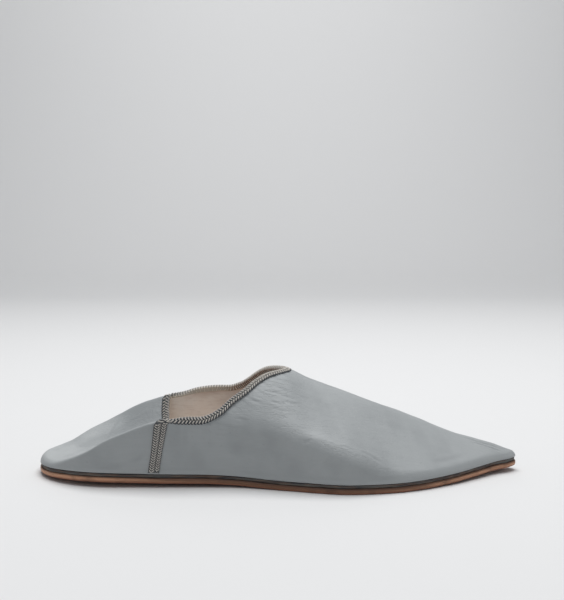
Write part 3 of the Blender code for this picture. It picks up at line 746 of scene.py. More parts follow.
@dataclass
class Relief:
    """Creases, waves, puckers and turned edge that a worn leather sheet carries."""

    skin: Skin
    samples: int = 24
    margin: float = 5.0
    lips: float = 0.42
    lips_place: float = 1.9
    lips_width: float = 0.8
    widest_lipped: float = 0.0020
    ridge_span: Span = (0.1235, 0.1315, 0.140, 0.200)
    ridge_height: float = 0.00055
    ridge_width: float = 0.00075
    pucker_height: float = 0.00013
    pucker_pitch: float = 0.0047
    pucker_reach: float = 0.0060
    lip_height: float = 0.00008
    lip_bell: Span = (0.0007, 0.0008)
    groove_depth: float = 0.00007
    groove_bell: Span = (0.0026, 0.0010)
    free_span: Span = (0.0005, 0.006)

    def creases(self) -> Array:
        """Depth pressed in by every crease of the table.

        Each crease is a curve through three points. Its section is a trough with a bell
        profile and a low ridge along each side, and it fades towards both ends.

        Returns:
            Outward distance, by column and row.
        """
        flat = self.skin.points.reshape(-1, 3)
        total = np.zeros(len(flat))
        t = np.linspace(0.0, 1.0, self.samples)[:, None]
        through = ((1.0 - t) * (1.0 - 2.0 * t), 4.0 * t * (1.0 - t), t * (2.0 * t - 1.0))
        for row in CREASES:
            width, depth = row[9] * MM, row[10] * MM
            knots = np.array(row[:9]).reshape(3, 3) * MM
            line = sum(knot * share for knot, share in zip(knots, through))
            low, high = line.min(0) - self.margin * width, line.max(0) + self.margin * width
            chosen = np.flatnonzero(np.all((flat > low) & (flat < high), axis=1))
            if not len(chosen):
                continue
            gap = np.linalg.norm(flat[chosen, None] - line[None], axis=2)
            along = gap.argmin(axis=1) / (self.samples - 1.0)
            distance = gap.min(axis=1)
            fade = np.clip(5.0 * along * (1.0 - along), 0.0, 1.0)
            section = bell(distance, 0.0, width)
            if width < self.widest_lipped:
                beside = bell(distance, self.lips_place * width, self.lips_width * width)
                section -= self.lips * beside
            total[chosen] -= depth * fade * section
        return total.reshape(self.skin.points.shape[:2])

    @staticmethod
    def waves(points: Array) -> Array:
        """Sum of the long soft waves of the table: sines of x, y and z, scaled together.

        Args:
            points: Points of the skin, by column, row and axis.

        Returns:
            Heights of the waves, by column and row.
        """
        total = np.zeros(points.shape[:2])
        for *turns, phase, height in WAVES:
            total += height * MM * np.sin(2.0 * np.pi * (points @ np.array(turns)) + phase)
        return total

    def outward(self) -> Array:
        """Whole relief of the leather's outside.

        It adds the creases, the waves faded out at the sole, the ridge folded along the vamp,
        the puckers that the stitching draws in, and the lip where the leather turns under.

        Returns:
            Outward distance, by column and row.
        """
        skin, up = self.skin, self.skin.travel
        x, y = skin.points[..., 0], skin.points[..., 1]
        wander = 0.00035 * np.sin(x * 210.0) + 0.0002 * np.sin(x * 530.0 + 1.0)
        ridge = window(x, *self.ridge_span) * bell(y, wander, self.ridge_width)
        phase = 2.0 * np.pi * skin.arc[:-1, None] / self.pucker_pitch
        rhythm = np.sin(phase + 1.3 * np.sin(0.31 * phase)) + 0.5 * np.sin(1.73 * phase)
        pucker = self.pucker_height * rhythm * np.exp(-skin.back / self.pucker_reach)
        lip = self.lip_height * bell(up, *self.lip_bell)
        lip = lip - self.groove_depth * bell(up, *self.groove_bell)
        unevenness = (0.7 + 0.3 * np.sin(170.0 * skin.ring.x + 2.0))[:, None]
        soft = (self.waves(skin.points) + pucker) * ramp(up, *self.free_span)
        return self.creases() + soft + self.ridge_height * ridge + lip * unevenness


class Graph:
    """Node tree of one material, built from its shader backwards."""

    def __init__(self, name: str) -> None:
        """Starts a material with its shader and the object's own coordinates.

        Args:
            name: Name of the material.
        """
        self.made = bpy.data.materials.new(name)
        self.made.use_nodes = True
        self.tree = self.made.node_tree
        self.shader = self.tree.nodes["Principled BSDF"]
        self.place = self.node("TexCoord", {}).outputs["Object"]

    def put(self, socket: Output, value: Value) -> None:
        """Links an output to a socket, or sets the socket's own number or colour.

        Args:
            socket: Input socket of a node.
            value: Output, number or colour; None leaves the socket alone.
        """
        if isinstance(value, Output):
            self.tree.links.new(value, socket)
        elif value is not None:
            socket.default_value = (*value, 1.0) if socket.type == "RGBA" else value

    def node(self, kind: str, inputs: dict[str | int, Value], **settings: str) -> bpy.types.Node:
        """Adds one shader node.

        Args:
            kind: Last part of the node's type name.
            inputs: What goes into its sockets, by their name or number.
            settings: Settings of the node itself.

        Returns:
            The new node.
        """
        node = self.tree.nodes.new("ShaderNode" + kind)
        for setting, value in settings.items():
            setattr(node, setting, value)
        for socket, value in inputs.items():
            self.put(node.inputs[socket], value)
        return node

    def math(self, kind: str, first: Output, second: Value) -> Output:
        """Joins two values with the named kind of arithmetic."""
        return self.node("Math", {0: first, 1: second}, operation=kind).outputs[0]

    def remap(self, value: Output, *ends: float) -> Output:
        """Stretches a value's range, low and high, to a new low and high, held at both ends."""
        return self.node("MapRange", {0: value, **dict(enumerate(ends, 1))}).outputs[0]


@dataclass(frozen=True)
class Noise:
    """Cloudy pattern from 0 to 1, drawn out by a scale for each axis and pulled about."""

    detail: float
    scale: float = 1.0
    stretch: Triple | None = None
    twist: float = 0.0

    def read(self, graph: Graph) -> Output:
        """The pattern's output.

        Args:
            graph: Node tree that the pattern's nodes are added to.

        Returns:
            Output that carries the cloudy pattern.
        """
        place = graph.place
        if self.stretch:
            place = graph.node("Mapping", {"Vector": place, "Scale": self.stretch}).outputs[0]
        sockets = {"Scale": self.scale, "Detail": self.detail, "Distortion": self.twist}
        return graph.node("TexNoise", {"Vector": place, **sockets}).outputs["Fac"]


@dataclass(frozen=True)
class Pores:
    """Distance to the nearest of scattered points."""

    scale: float

    def read(self, graph: Graph) -> Output:
        """The pattern's output."""
        sockets = {"Vector": graph.place, "Scale": self.scale}
        return graph.node("TexVoronoi", sockets).outputs["Distance"]


@dataclass(frozen=True)
class Own:
    """One of the piece's own numbers."""

    name: str

    def read(self, graph: Graph) -> Output:
        """The number's output."""
        return graph.node("Attribute", {}, attribute_name=self.name).outputs["Fac"]


@dataclass(frozen=True)
class Coat:
    """Colour over the coats before it: share least where the source is low, most where high."""

    colour: Colour | Output
    source: Noise | Own
    low: float = 0.0
    high: float = 1.0
    least: float = 0.0
    most: float = 1.0
    added: str = ""

    def over(self, graph: Graph, below: Value) -> Output:
        """The colour below with this coat on it, as strong as source and added number say.

        Args:
            graph: Node tree that the coat's nodes are added to.
            below: Colour of the coats below.

        Returns:
            Output of the mixed colour.
        """
        share = graph.remap(self.source.read(graph), self.low, self.high, self.least, self.most)
        if self.added:
            share = graph.math("ADD", share, Own(self.added).read(graph))
        return graph.node("Mix", {0: share, 6: below, 7: self.colour}, data_type="RGBA").outputs[2]


@dataclass(frozen=True)
class Bump:
    """Fine relief that only tilts the light."""

    source: Noise | Pores | Own
    strength: float
    height: float

    def over(self, graph: Graph, below: Value) -> Output:
        """The relief below with this one on it."""
        return self.raised(graph, self.source.read(graph), below)

    def raised(self, graph: Graph, height: Output, below: Value) -> Output:
        """The relief below with a given pattern of heights on it."""
        sockets = {"Strength": self.strength, "Distance": self.height, "Height": height}
        return graph.node("Bump", {**sockets, "Normal": below}).outputs["Normal"]


@dataclass(frozen=True)
class Finish:
    """Finish that several pieces can share: coats of colour, a shine and fine relief."""

    name: str
    base: Colour
    roughness: float
    shine: float
    sheen: float = 0.0
    coats: tuple[Coat, ...] = ()
    bumps: tuple[Bump, ...] = ()

    def paint(self, graph: Graph) -> Value:
        """Colour of the surface, coat over coat."""
        return reduce(lambda below, coat: coat.over(graph, below), self.coats, self.base)

    def dullness(self, graph: Graph) -> Value:
        """Roughness of the surface."""
        return self.roughness

    def texture(self, graph: Graph) -> Value:
        """Fine relief of the surface, bump over bump."""
        return reduce(lambda below, bump: bump.over(graph, below), self.bumps, None)

    def material(self) -> bpy.types.Material:
        """The finish's material, made the first time that it is asked for.

        Returns:
            The one material that bears the finish's name.
        """
        made = bpy.data.materials.get(self.name)
        if made is None:
            graph = Graph(self.name)
            looks = {
                "Base Color": self.paint(graph),
                "Roughness": self.dullness(graph),
                "Specular IOR Level": self.shine,
                "Sheen Weight": self.sheen,
                "Normal": self.texture(graph),
            }
            for socket, value in looks.items():
                graph.put(graph.shader.inputs[socket], value)
            made = graph.made
        return made


@dataclass(frozen=True)
class WornLeather(Finish):
    """Dyed smooth leather with an uneven shine and fine cracks where it is worn."""

    patches: Noise = Noise(3.0, 75.0)
    shinier: float = 0.07
    duller: float = 0.08
    folds: Noise = Noise(3.0, stretch=(95.0, 330.0, 390.0), twist=1.1)
    crack_width: float = 0.045
    crack: Bump = Bump(Own("wear"), 0.60, 0.00024)

    def dullness(self, graph: Graph) -> Value:
        """Roughness in soft patches."""
        ends = self.roughness - self.shinier, self.roughness + self.duller
        return graph.remap(self.patches.read(graph), 0.3, 0.7, *ends)

    def texture(self, graph: Graph) -> Value:
        """Adds sunk lines where a twisted pattern crosses its middle, as deep as the wear says.

        Args:
            graph: Node tree that the lines' nodes are added to.

        Returns:
            Output of the tilted normal.
        """
        away = graph.math("ABSOLUTE", graph.math("SUBTRACT", self.folds.read(graph), 0.5), None)
        line = graph.remap(away, 0.0, self.crack_width, -1.0, 0.0)
        sunk = graph.math("MULTIPLY", line, self.crack.source.read(graph))
        return self.crack.raised(graph, sunk, super().texture(graph))


@dataclass(frozen=True)
class TwoSidedTape(Finish):
    """Woven tape that is cream on the lining's side, with painted brown shade towards the throat.
    """

    cream: Colour = (0.560, 0.500, 0.420)
    brown: Colour = (0.210, 0.110, 0.072)

    def paint(self, graph: Graph) -> Value:
        """The weave outside; inside, cream with painted brown shade towards the throat."""
        # brown over cream is painted shade towards the throat
        inside = Coat(self.brown, Own("worn")).over(graph, self.cream)
        return Coat(inside, Own("lining")).over(graph, super().paint(graph))


# Paler grey: rubbed leather, also painted light on the heel end and a painted highlight on the
# vamp's ridge
RUBBED_AND_LIT_GREY: Colour = (0.430, 0.448, 0.452)
# Darker grey: dark specks, also painted shade on the flap and in the creases' troughs
SPECK_AND_SHADE_GREY: Colour = (0.250, 0.266, 0.274)
GREY_LEATHER = WornLeather(
    "grey_leather", (0.350, 0.369, 0.375), 0.50, 0.36, 0.06,
    (
        Coat(RUBBED_AND_LIT_GREY, Noise(4.0, 30.0), 0.32, 0.70, most=0.16),
        Coat(RUBBED_AND_LIT_GREY, Noise(4.0, stretch=(70.0, 1100.0, 800.0)), 0.45, 0.75, most=0.20),
        # pale where rubbed, and painted light on the heel end's upward faces
        Coat(RUBBED_AND_LIT_GREY, Own("dye")),
        # painted shade over the flap's inner half
        Coat(SPECK_AND_SHADE_GREY, Own("dye"), high=-1.0),
        # painted shade: darker in the creases' troughs
        Coat(SPECK_AND_SHADE_GREY, Own("relief"), 0.00002, -0.00030, most=0.55),
        # paler on raised ridges: rubbing, and a painted highlight along the vamp's folded ridge
        Coat(RUBBED_AND_LIT_GREY, Own("relief"), 0.00012, 0.00045, most=0.60),
        Coat(SPECK_AND_SHADE_GREY, Noise(2.0, 620.0), 0.66, 0.76, most=0.30),
    ),
    (
        Bump(Pores(1500.0), 0.22, 0.00006),
        Bump(Noise(3.0, 900.0), 0.30, 0.00010),
        Bump(Noise(3.0, stretch=(110.0, 700.0, 520.0), twist=0.6), 0.30, 0.00016),
    ),
)

# Brown of the suede's fibres, also used for its painted shade
FIBRE_AND_SHADE_BROWN: Colour = (0.330, 0.175, 0.110)
LINING_SUEDE = Finish(
    "lining_suede", (0.900, 0.800, 0.715), 0.93, 0.12, 0.45,
    (
        Coat((0.940, 0.880, 0.810), Noise(4.0, 60.0), 0.35, 0.68),
        Coat(FIBRE_AND_SHADE_BROWN, Noise(3.0, stretch=(260.0, 900.0, 900.0)), 0.50, 0.80, most=0.18),
        # painted shade: browner inside under the vamp and along the opening's edge towards the
        # throat
        Coat(FIBRE_AND_SHADE_BROWN, Own("shade"), most=0.72),
    ),
    (Bump(Noise(3.0, 1400.0), 0.45, 0.00018), Bump(Noise(3.0, 210.0), 0.35, 0.00045)),
)

WORN_TAN: Colour = (0.560, 0.300, 0.180)
BURNISHED: Colour = (0.085, 0.044, 0.030)
TAN_SOLE = Finish(
    "tan_sole_leather", (0.200, 0.100, 0.058), 0.50, 0.35, 0.0,
    (
        Coat(WORN_TAN, Noise(4.0, stretch=(60.0, 160.0, 2600.0)), 0.36, 0.66, -0.25, 0.55, "pale"),
        # reddish brown on the lower side and underside: the underside's colour, partly painted
        # shade where the side turns under
        Coat((0.300, 0.130, 0.080), Own("rise"), 0.44, 0.20, most=0.90),
        Coat(BURNISHED, Own("rise"), 0.70, 0.86, most=0.75),
        Coat(BURNISHED, Noise(4.0, 140.0), 0.52, 0.72, most=0.60),
    ),
    (
        Bump(Noise(4.0, 700.0), 0.35, 0.00012),
        Bump(Noise(3.0, stretch=(50.0, 150.0, 3400.0)), 0.5, 0.00016),
    ),
)

BLACK_STAIN: Colour = (0.048, 0.044, 0.047)
STAINED_MIDSOLE = Finish(
    "stained_midsole", BLACK_STAIN, 0.68, 0.30, 0.0,
    (
        Coat((0.165, 0.108, 0.076), Noise(4.0, stretch=(120.0, 240.0, 1800.0)), 0.42, 0.66),
        Coat((0.165, 0.172, 0.160), Noise(4.0, stretch=(45.0, 90.0, 900.0)), 0.46, 0.66, most=0.60),
        Coat(BLACK_STAIN, Own("rise"), 0.70, 0.90, most=0.88),
    ),
    (Bump(Noise(4.0, 620.0), 0.7, 0.00030),),
)

BRAID_THREAD = Finish(
    "braid_thread", (0.690, 0.650, 0.590), 0.72, 0.25, 0.15,
    (
        Coat((0.050, 0.056, 0.066), Own("tone")),
        Coat((0.20, 0.19, 0.18), Noise(3.0, 300.0), 0.45, 0.78, most=0.30),
    ),
    (Bump(Noise(2.0, 2600.0), 0.6, 0.00010),),
)

BRAID_TAPE = TwoSidedTape(
    "braid_tape", (0.165, 0.170, 0.175), 0.85, 0.15, 0.0,
    (Coat((0.340, 0.330, 0.310), Noise(2.0, 1100.0), 0.42, 0.64),),
    (Bump(Noise(2.0, 1500.0), 0.7, 0.00018),),
)

FLOOR_PAINT = Finish("floor_paint", (0.760, 0.760, 0.760), 0.75, 0.2)


def ring_quads(columns: int, rows: int, start: int, flip: bool) -> Array:
    """Quads of a closed ring of columns whose points are numbered column by column.

    Args:
        columns: Number of columns round the ring.
        rows: Number of points in each column.
        start: Number of the first point.
        flip: Whether the quads look the other way.

    Returns:
        Corner numbers, four to a quad.
    """
    i = np.arange(columns)[:, None]
    j = (i + 1) % columns
    r = np.arange(rows - 1)[None, :]
    quads = np.stack([i * rows + r, j * rows + r, j * rows + r + 1, i * rows + r + 1], axis=2)
    quads = quads.reshape(-1, 4) + start
    return quads[:, ::-1] if flip else quads


def flipped(faces: list[Array]) -> list[Array]:
    """Faces turned to look the other way."""
    return [group[:, ::-1] for group in faces]


def cap_polygons(columns: int, rows: int, row: int) -> list[Array]:
    """Faces that close one row of a ring by joining each outer column to its inner twin.

    Args:
        columns: Number of columns round the ring.
        rows: Number of points in each column.
        row: Row that is closed.

    Returns:
        Quads between the twins, and the two end triangles.
    """
    half = columns // 2
    i = np.arange(1, half - 1)
    quads = np.stack([i, i + 1, columns - i - 1, columns - i], axis=1)
    ends = np.array([[0, 1, columns - 1], [half - 1, half, half + 1]])
    return [part * rows + row for part in (quads, ends)]


def strip_faces(section: Array) -> list[Array]:
    """Faces of a closed strip: its sides, and both ends zipped from one half to the other.

    Args:
        section: Points of the strip, by place along it, place round it and axis.

    Returns:
        Groups of faces: sides, first end and last end.
    """
    count, size = section.shape[:2]
    i = np.arange(count - 1)[:, None] * size
    k = np.arange(size)[None, :]
    m = (k + 1) % size
    sides = np.stack([i + k, i + m, i + size + m, i + size + k], axis=2).reshape(-1, 4)
    p = np.arange(size // 2 - 1)
    end = np.stack([p, p + 1, size - 2 - p, size - 1 - p], axis=1)
    return [sides, end[:, ::-1], end + (count - 1) * size]


def join_meshes(parts: list[Mesh]) -> Mesh:
    """Joins several sets of points and faces into one.

    Args:
        parts: Sets of points and groups of faces.

    Returns:
        All the points in one array, and all the groups of faces.
    """
    points, faces, start = [], [], 0
    for vertices, groups in parts:
        points.append(vertices)
        faces.extend(group + start for group in groups)
        start += len(vertices)
    return np.concatenate(points), faces


def tubes(paths: Array, ups: Array, radius: float) -> Mesh:
    """Closed threads along many short paths at once.

    Each ring of a thread is a circle square to its path. The radius swells from each end to the
    middle as the square root of the half wave, so that the ends are rounded.

    Args:
        paths: Points, by thread, place and axis.
        ups: Directions away from the surface, by thread, place and axis.
        radius: Radius of the threads.

    Returns:
        Points and groups of faces.
    """
    count, places = paths.shape[:2]
    ahead = unit(np.gradient(paths, axis=1))
    across = unit(np.cross(ahead, ups))
    above = np.cross(across, ahead)
    t = (np.arange(places) + END_CUT) / (places - 1.0 + 2.0 * END_CUT)
    size = (radius * np.sin(np.pi * t) ** 0.5)[:, None, None]
    angle = 2.0 * np.pi * np.arange(TUBE_SIDES) / TUBE_SIDES
    circle = across[:, :, None] * np.cos(angle)[:, None]
    circle = circle + above[:, :, None] * np.sin(angle)[:, None]
    points = paths[:, :, None] + circle * size
    base = np.arange(count)[:, None, None] * places * TUBE_SIDES
    r = base + np.arange(places - 1)[None, :, None] * TUBE_SIDES
    k = np.arange(TUBE_SIDES)[None, None, :]
    m = (k + 1) % TUBE_SIDES
    quads = np.stack([r + k, r + TUBE_SIDES + k, r + TUBE_SIDES + m, r + m], axis=3)
    first = base[:, 0] + k[0]
    last = first + (places - 1) * TUBE_SIDES
    return points.reshape(-1, 3), [quads.reshape(-1, 4), first, last[:, ::-1]]


def place_object(name: str, data: bpy.types.ID) -> bpy.types.Object:
    """Adds an object to the scene.

    Args:
        name: Name of the object.
        data: Mesh, lamp or camera that the object shows.

    Returns:
        The new object.
    """
    made = bpy.data.objects.new(name, data)
    bpy.context.scene.collection.objects.link(made)
    return made


def make_piece(
    name: str, mesh_data: Mesh, finish: Finish, slot: Slot, **numbers: Array
) -> bpy.types.Object:
    """Makes one smooth piece, moved from heel-based to middle-based coordinates.

    Args:
        name: Name of the piece.
        mesh_data: Points in heel-based coordinates, and groups of faces, each group with its
            own number of corners.
        finish: Finish that dresses the piece.
        slot: Record slot of the piece; not used.
        numbers: The piece's own numbers, one for each point, for its material to read.

    Returns:
        The new object, riding on the one body.
    """
    points, faces = mesh_data
    mesh = bpy.data.meshes.new(name)
    placed = points.reshape(-1, 3) + TO_MIDDLE
    sizes = np.concatenate([np.full(len(group), group.shape[1]) for group in faces])
    corners = np.concatenate([group.reshape(-1) for group in faces])
    mesh.vertices.add(len(placed))
    mesh.vertices.foreach_set("co", placed.astype(np.float32).reshape(-1))
    mesh.loops.add(len(corners))
    mesh.loops.foreach_set("vertex_index", corners.astype(np.int32))
    mesh.polygons.add(len(sizes))
    starts = np.concatenate([[0], np.cumsum(sizes)[:-1]])
    mesh.polygons.foreach_set("loop_start", starts.astype(np.int32))
    mesh.polygons.foreach_set("loop_total", sizes.astype(np.int32))
    mesh.update(calc_edges=True)
    mesh.validate()
    mesh.shade_smooth()
    for number, values in numbers.items():
        layer = mesh.attributes.new(number, "FLOAT", "POINT")
        layer.data.foreach_set("value", values.reshape(-1).astype(np.float32))
    mesh.materials.append(finish.material())
    piece = place_object(name, mesh)
    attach(piece, "root")
    LOG.info("%s: %d points, %d faces", name, len(placed), len(sizes))
    return piece


def make_threads(name: str, rows: list[tuple[Mesh, Array]], slot: Slot) -> None:
    """Makes one piece of many rows of threads.

    Args:
        name: Name of the piece.
        rows: Threads of each row, and each thread's tone from pale, 0, to dark, 1.
        slot: Record slot of the piece, handed on to make_piece.
    """
    tones = [np.repeat(tone, len(mesh[0]) // len(tone)) for mesh, tone in rows]
    mesh = join_meshes([mesh for mesh, _ in rows])
    make_piece(name, mesh, BRAID_THREAD, slot, tone=np.concatenate(tones))


@dataclass
class Sole:
    """Outsole, midsole and insole, each a ring of columns closed underneath and on top."""

    ring: Ring
    outsole: float = 0.0028
    midsole: float = 0.0014
    insole: float = 0.0015
    gap: float = 0.0003
    tread_inset: float = 0.00008
    tread_wobble: float = 0.4
    midsole_drop: float = 0.00025
    insole_inset: float = 0.0021
    toe_inset: float = 0.0050
    heel_inset: float = 0.0012
    toe_span: Span = (0.86, 0.98)
    heel_span: Span = (0.0, 0.10)
    pale_heel: Span = (0.020, 0.085)
    pale_toe: Span = (0.185, 0.225)
    dark_waist: Span = (0.135, 0.040)
    painted_shade_span: Span = (0.090, 0.140)

    def layer(
        self, profile: Rows, outline: Array, bottom: float, thickness: float
    ) -> tuple[Array, Array]:
        """Points of one layer: rings out from the spine, its side, and rings back in on top.

        A side point stands at its inset inside the outline, at its share of the thickness
        above the underside, which follows the sole's lift.

        Args:
            profile: Insets and heights of the side, from below up.
            outline: Plan outline of the layer.
            bottom: Height of the layer's underside where the sole is flat.
            thickness: Thickness of the layer.

        Returns:
            Points by column, row and axis, and each point's share of the height.
        """
        ring = self.ring
        side = [outline - ring.normal * inset * MM for inset, _ in profile]
        under = [ring.spine + (side[0] - ring.spine) * share for share in SOLE_RINGS[::-1]]
        over = [ring.spine + (side[-1] - ring.spine) * share for share in SOLE_RINGS]
        heights = [height for _, height in profile]
        rings = len(SOLE_RINGS)
        heights = np.array(heights[:1] * rings + heights + heights[-1:] * rings)
        plans = under + side + over
        shares = [np.minimum(ring.sole_share(plan), 1.0) for plan in plans]
        lifts = [ring.last.lift(plan[:, 0], share) for plan, share in zip(plans, shares)]
        z = np.stack(lifts, axis=1) + bottom + heights * thickness
        points = np.concatenate([np.stack(plans, axis=1), z[..., None]], axis=2)
        return points, np.broadcast_to(heights, z.shape)

    def make(self, name: str, shape: tuple[Array, Array], finish: Finish, slot: Slot) -> None:
        """Makes one layer's piece with its rise, its pale stretches and its painted brown shade
        under the vamp.

        Args:
            name: Name of the piece.
            shape: Points and rise of the layer, by column and row.
            finish: Finish that dresses the layer.
            slot: Record slot of the solid that the layer stands for, hidden once it is made.
        """
        points, rise = shape
        count, rows = points.shape[:2]
        faces = [ring_quads(count, rows, 0, False), *flipped(cap_polygons(count, rows, 0))]
        faces += cap_polygons(count, rows, rows - 1)
        x = points[..., 0]
        pale = 1.25 * (1.0 - ramp(x, *self.pale_heel)) + 0.75 * ramp(x, *self.pale_toe)
        pale = pale - 0.60 * bell(x, *self.dark_waist) + 0.10 * np.sin(95.0 * x + 0.6)
        # shade is painted shade under the vamp, read only by the insole's suede
        numbers = {"rise": rise, "pale": pale, "shade": 0.75 * ramp(x, *self.painted_shade_span)}
        piece = make_piece(name, (points, faces), finish, slot, **numbers)
        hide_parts(slot.value)

    def build(self) -> None:
        """Makes the three layers, each a gap above the one below."""
        ring = self.ring
        wobble = 0.00016 * np.sin(430.0 * ring.x + 1.0) + 0.00012 * np.sin(1130.0 * ring.x)
        outline = ring.inset(self.tread_wobble * wobble + self.tread_inset)
        shape = self.layer(TREAD_PROFILE, outline, 0.0, self.outsole)
        self.make("sole_tread", shape, TAN_SOLE, Slot.OUTSOLE)
        drop = self.midsole_drop
        base = self.outsole + self.gap
        thick = self.midsole + 2.0 * drop
        shape = self.layer(MIDSOLE_PROFILE, ring.inset(wobble), base - drop, thick)
        self.make("sole_middle_layer", shape, STAINED_MIDSOLE, Slot.MIDSOLE)
        station = ring.x / ring.last.length
        inset = self.insole_inset + self.toe_inset * ramp(station, *self.toe_span)
        inset = inset + self.heel_inset * (1.0 - ramp(station, *self.heel_span))
        base += self.midsole + self.gap
        shape = self.layer(INSOLE_PROFILE, ring.inset(inset), base, self.insole)
        self.make("sock_lining", shape, LINING_SUEDE, Slot.INSOLE)


@dataclass
class Upper:
    """Leather and lining of the upper, two closed shells that share one edge line."""

    skin: Skin
    leather: float = 0.00080
    lining: float = 0.00150
    shell_gap: float = 0.00004
    deepest: float = 0.8
    hidden_rows: int = 20
    lining_waves: float = 1.6
    lining_highest: float = 0.00045
    throat_wear: Span = (0.080, 0.095, 0.128, 0.150)
    crest_wear: Span = (0.112, 0.130, 0.175, 0.205)
    crest_level: Span = (0.60, 0.26)
    toe_wear: Span = (0.215, 0.232)
    flap_wear: Span = (0.060, 0.072)
    pale_heel: Span = (0.024, 0.050)
    painted_shade_flap: Span = (0.028, 0.044, 0.066, 0.072)
    pale_toe: Span = (0.215, 0.245)
    painted_shade_vamp: Span = (0.080, 0.122)
    painted_shade_rim: Span = (0.066, 0.090)

    @staticmethod
    def shell(outside: Array, inside: Array) -> Mesh:
        """Joins an outer and an inner ring of columns along the foot and the opening.

        Args:
            outside: Points facing out, by column, row and axis.
            inside: Points facing in, with the same columns and any number of rows.

        Returns:
            Points and groups of faces of one closed shell.
        """
        count, rows = outside.shape[:2]
        inner_rows = inside.shape[1]
        shift = count * rows
        here = np.arange(count)
        after = (here + 1) % count
        pairs = []
        for row, inner_row in ((0, 0), (rows - 1, inner_rows - 1)):
            outer = [column * rows + row for column in (here, after)]
            inner = [shift + column * inner_rows + inner_row for column in (after, here)]
            pairs.append(np.stack([*outer, *inner], axis=1))
        faces = [ring_quads(count, rows, 0, False), ring_quads(count, inner_rows, shift, True)]
        faces += [pairs[0][:, [0, 3, 2, 1]], pairs[1]]
        return np.concatenate([outside.reshape(-1, 3), inside.reshape(-1, 3)]), faces

    def offset(self, depth: float, rows: int | None = None) -> Array:
        """The skin moved inwards by a depth, level with the sole along its foot.

        Args:
            depth: Distance inwards from the outer skin.
            rows: Number of rows wanted, or None to keep those of the skin.

        Returns:
            Points, by column, row and axis.
        """
        skin = self.skin
        points, normals = skin.points, skin.normals
        if rows is not None:
            wanted = skin.travel[:, -1:] * np.linspace(0.0, 1.0, rows)
            points, normals = resample_skin((points, normals), skin.travel, wanted)
        moved = points - normals * depth
        plan = skin.ring.inset(skin.ring.last.foot_inset + depth)
        moved[:, 0, :2] = plan
        moved[:, 0, 2] = skin.ring.seat(plan)
        return moved

    def build(self) -> None:
        """Makes the leather with its relief and the lining behind it."""
        skin = self.skin
        hidden = np.zeros(skin.ring.count * self.hidden_rows)
        height = np.maximum(Relief(skin).outward(), -self.deepest * self.leather)
        outside = skin.points + skin.normals * height[..., None]
        mesh = self.shell(outside, self.offset(self.leather, self.hidden_rows))
        numbers = {"relief": height, "wear": self.wear(), "dye": self.dye()}
        for name, values in numbers.items():
            numbers[name] = np.concatenate([values.reshape(-1), hidden])
        leather = make_piece("upper_leather", mesh, GREY_LEATHER, Slot.UPPER, **numbers)
        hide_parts(Slot.UPPER.value)
        inner = self.offset(self.lining)
        height = self.lining_waves * Relief.waves(inner) + self.folds(inner)
        height = np.minimum(height, self.lining_highest)[..., None]
        inner = inner + skin.normals * height * ramp(skin.travel, 0.002, 0.01)[..., None]
        x = inner[..., 0]
        # painted shade on the lining: brown under the vamp and just below the opening's edge
        # towards the throat
        rim = 0.75 * (1.0 - ramp(skin.back, 0.002, 0.008)) * ramp(x, *self.painted_shade_rim)
        shade = np.maximum(ramp(x, *self.painted_shade_vamp), rim)
        mesh = self.shell(self.offset(self.leather + self.shell_gap, self.hidden_rows), inner)
        shade = np.concatenate([hidden, shade.reshape(-1)])
        make_piece("upper_lining", mesh, LINING_SUEDE, Slot.UPPER, shade=shade)

    def wear(self) -> Array:
        """Where fine cracks show: off the throat's braid, along the shoulder, at toe and flap.

        Returns:
            Share from 0 to 1, by column and row.
        """
        skin = self.skin
        x, level = skin.points[..., 0], skin.normals[..., 2]
        throat = 0.45 * bell(skin.back, 0.0, 0.020) * window(x, *self.throat_wear)
        crest = 0.70 * bell(level, *self.crest_level) * window(x, *self.crest_wear)
        toe = 0.6 * ramp(x, *self.toe_wear) * bell(skin.points[..., 1], 0.0, 0.009)
        flap = 0.55 * (1.0 - ramp(x, *self.flap_wear)) * ramp(level, 0.60, 0.85)
        return np.clip(throat + crest + toe + flap, 0.0, 1.0)

    def dye(self) -> Array:
        """Pale where rubbed at the toe and heel end, the heel end also painted light; negative for
        painted shade on the flap.

        Returns:
            Share from -1 to 1, by column and row.
        """
        x, y = self.skin.points[..., 0], self.skin.points[..., 1]
        roof = ramp(self.skin.normals[..., 2], 0.45, 0.75)
        # rubbed paler on the heel end's upward faces, with painted light there
        heel = 0.80 * (1.0 - ramp(x, *self.pale_heel))
        # painted shade over the flap's inner half
        flap = 0.60 * window(x, *self.painted_shade_flap) * ramp(y, -0.014, 0.006)
        return roof * (heel - flap) + 0.35 * ramp(x, *self.pale_toe)

    @staticmethod
    def folds(points: Array) -> Array:
        """Soft folds of the lining: slanting sines that grow towards the vamp.

        Args:
            points: Points of the lining, by column, row and axis.

        Returns:
            Heights of the folds, by column and row.
        """
        x, z = points[..., 0], points[..., 2]
        slant = np.sin(620.0 * z + 260.0 * x + 1.4 * np.sin(90.0 * x))
        fine = np.sin(1250.0 * z - 520.0 * x + 2.0)
        return (0.00016 * slant + 0.00007 * fine) * (0.35 + 0.65 * ramp(x, 0.075, 0.125))


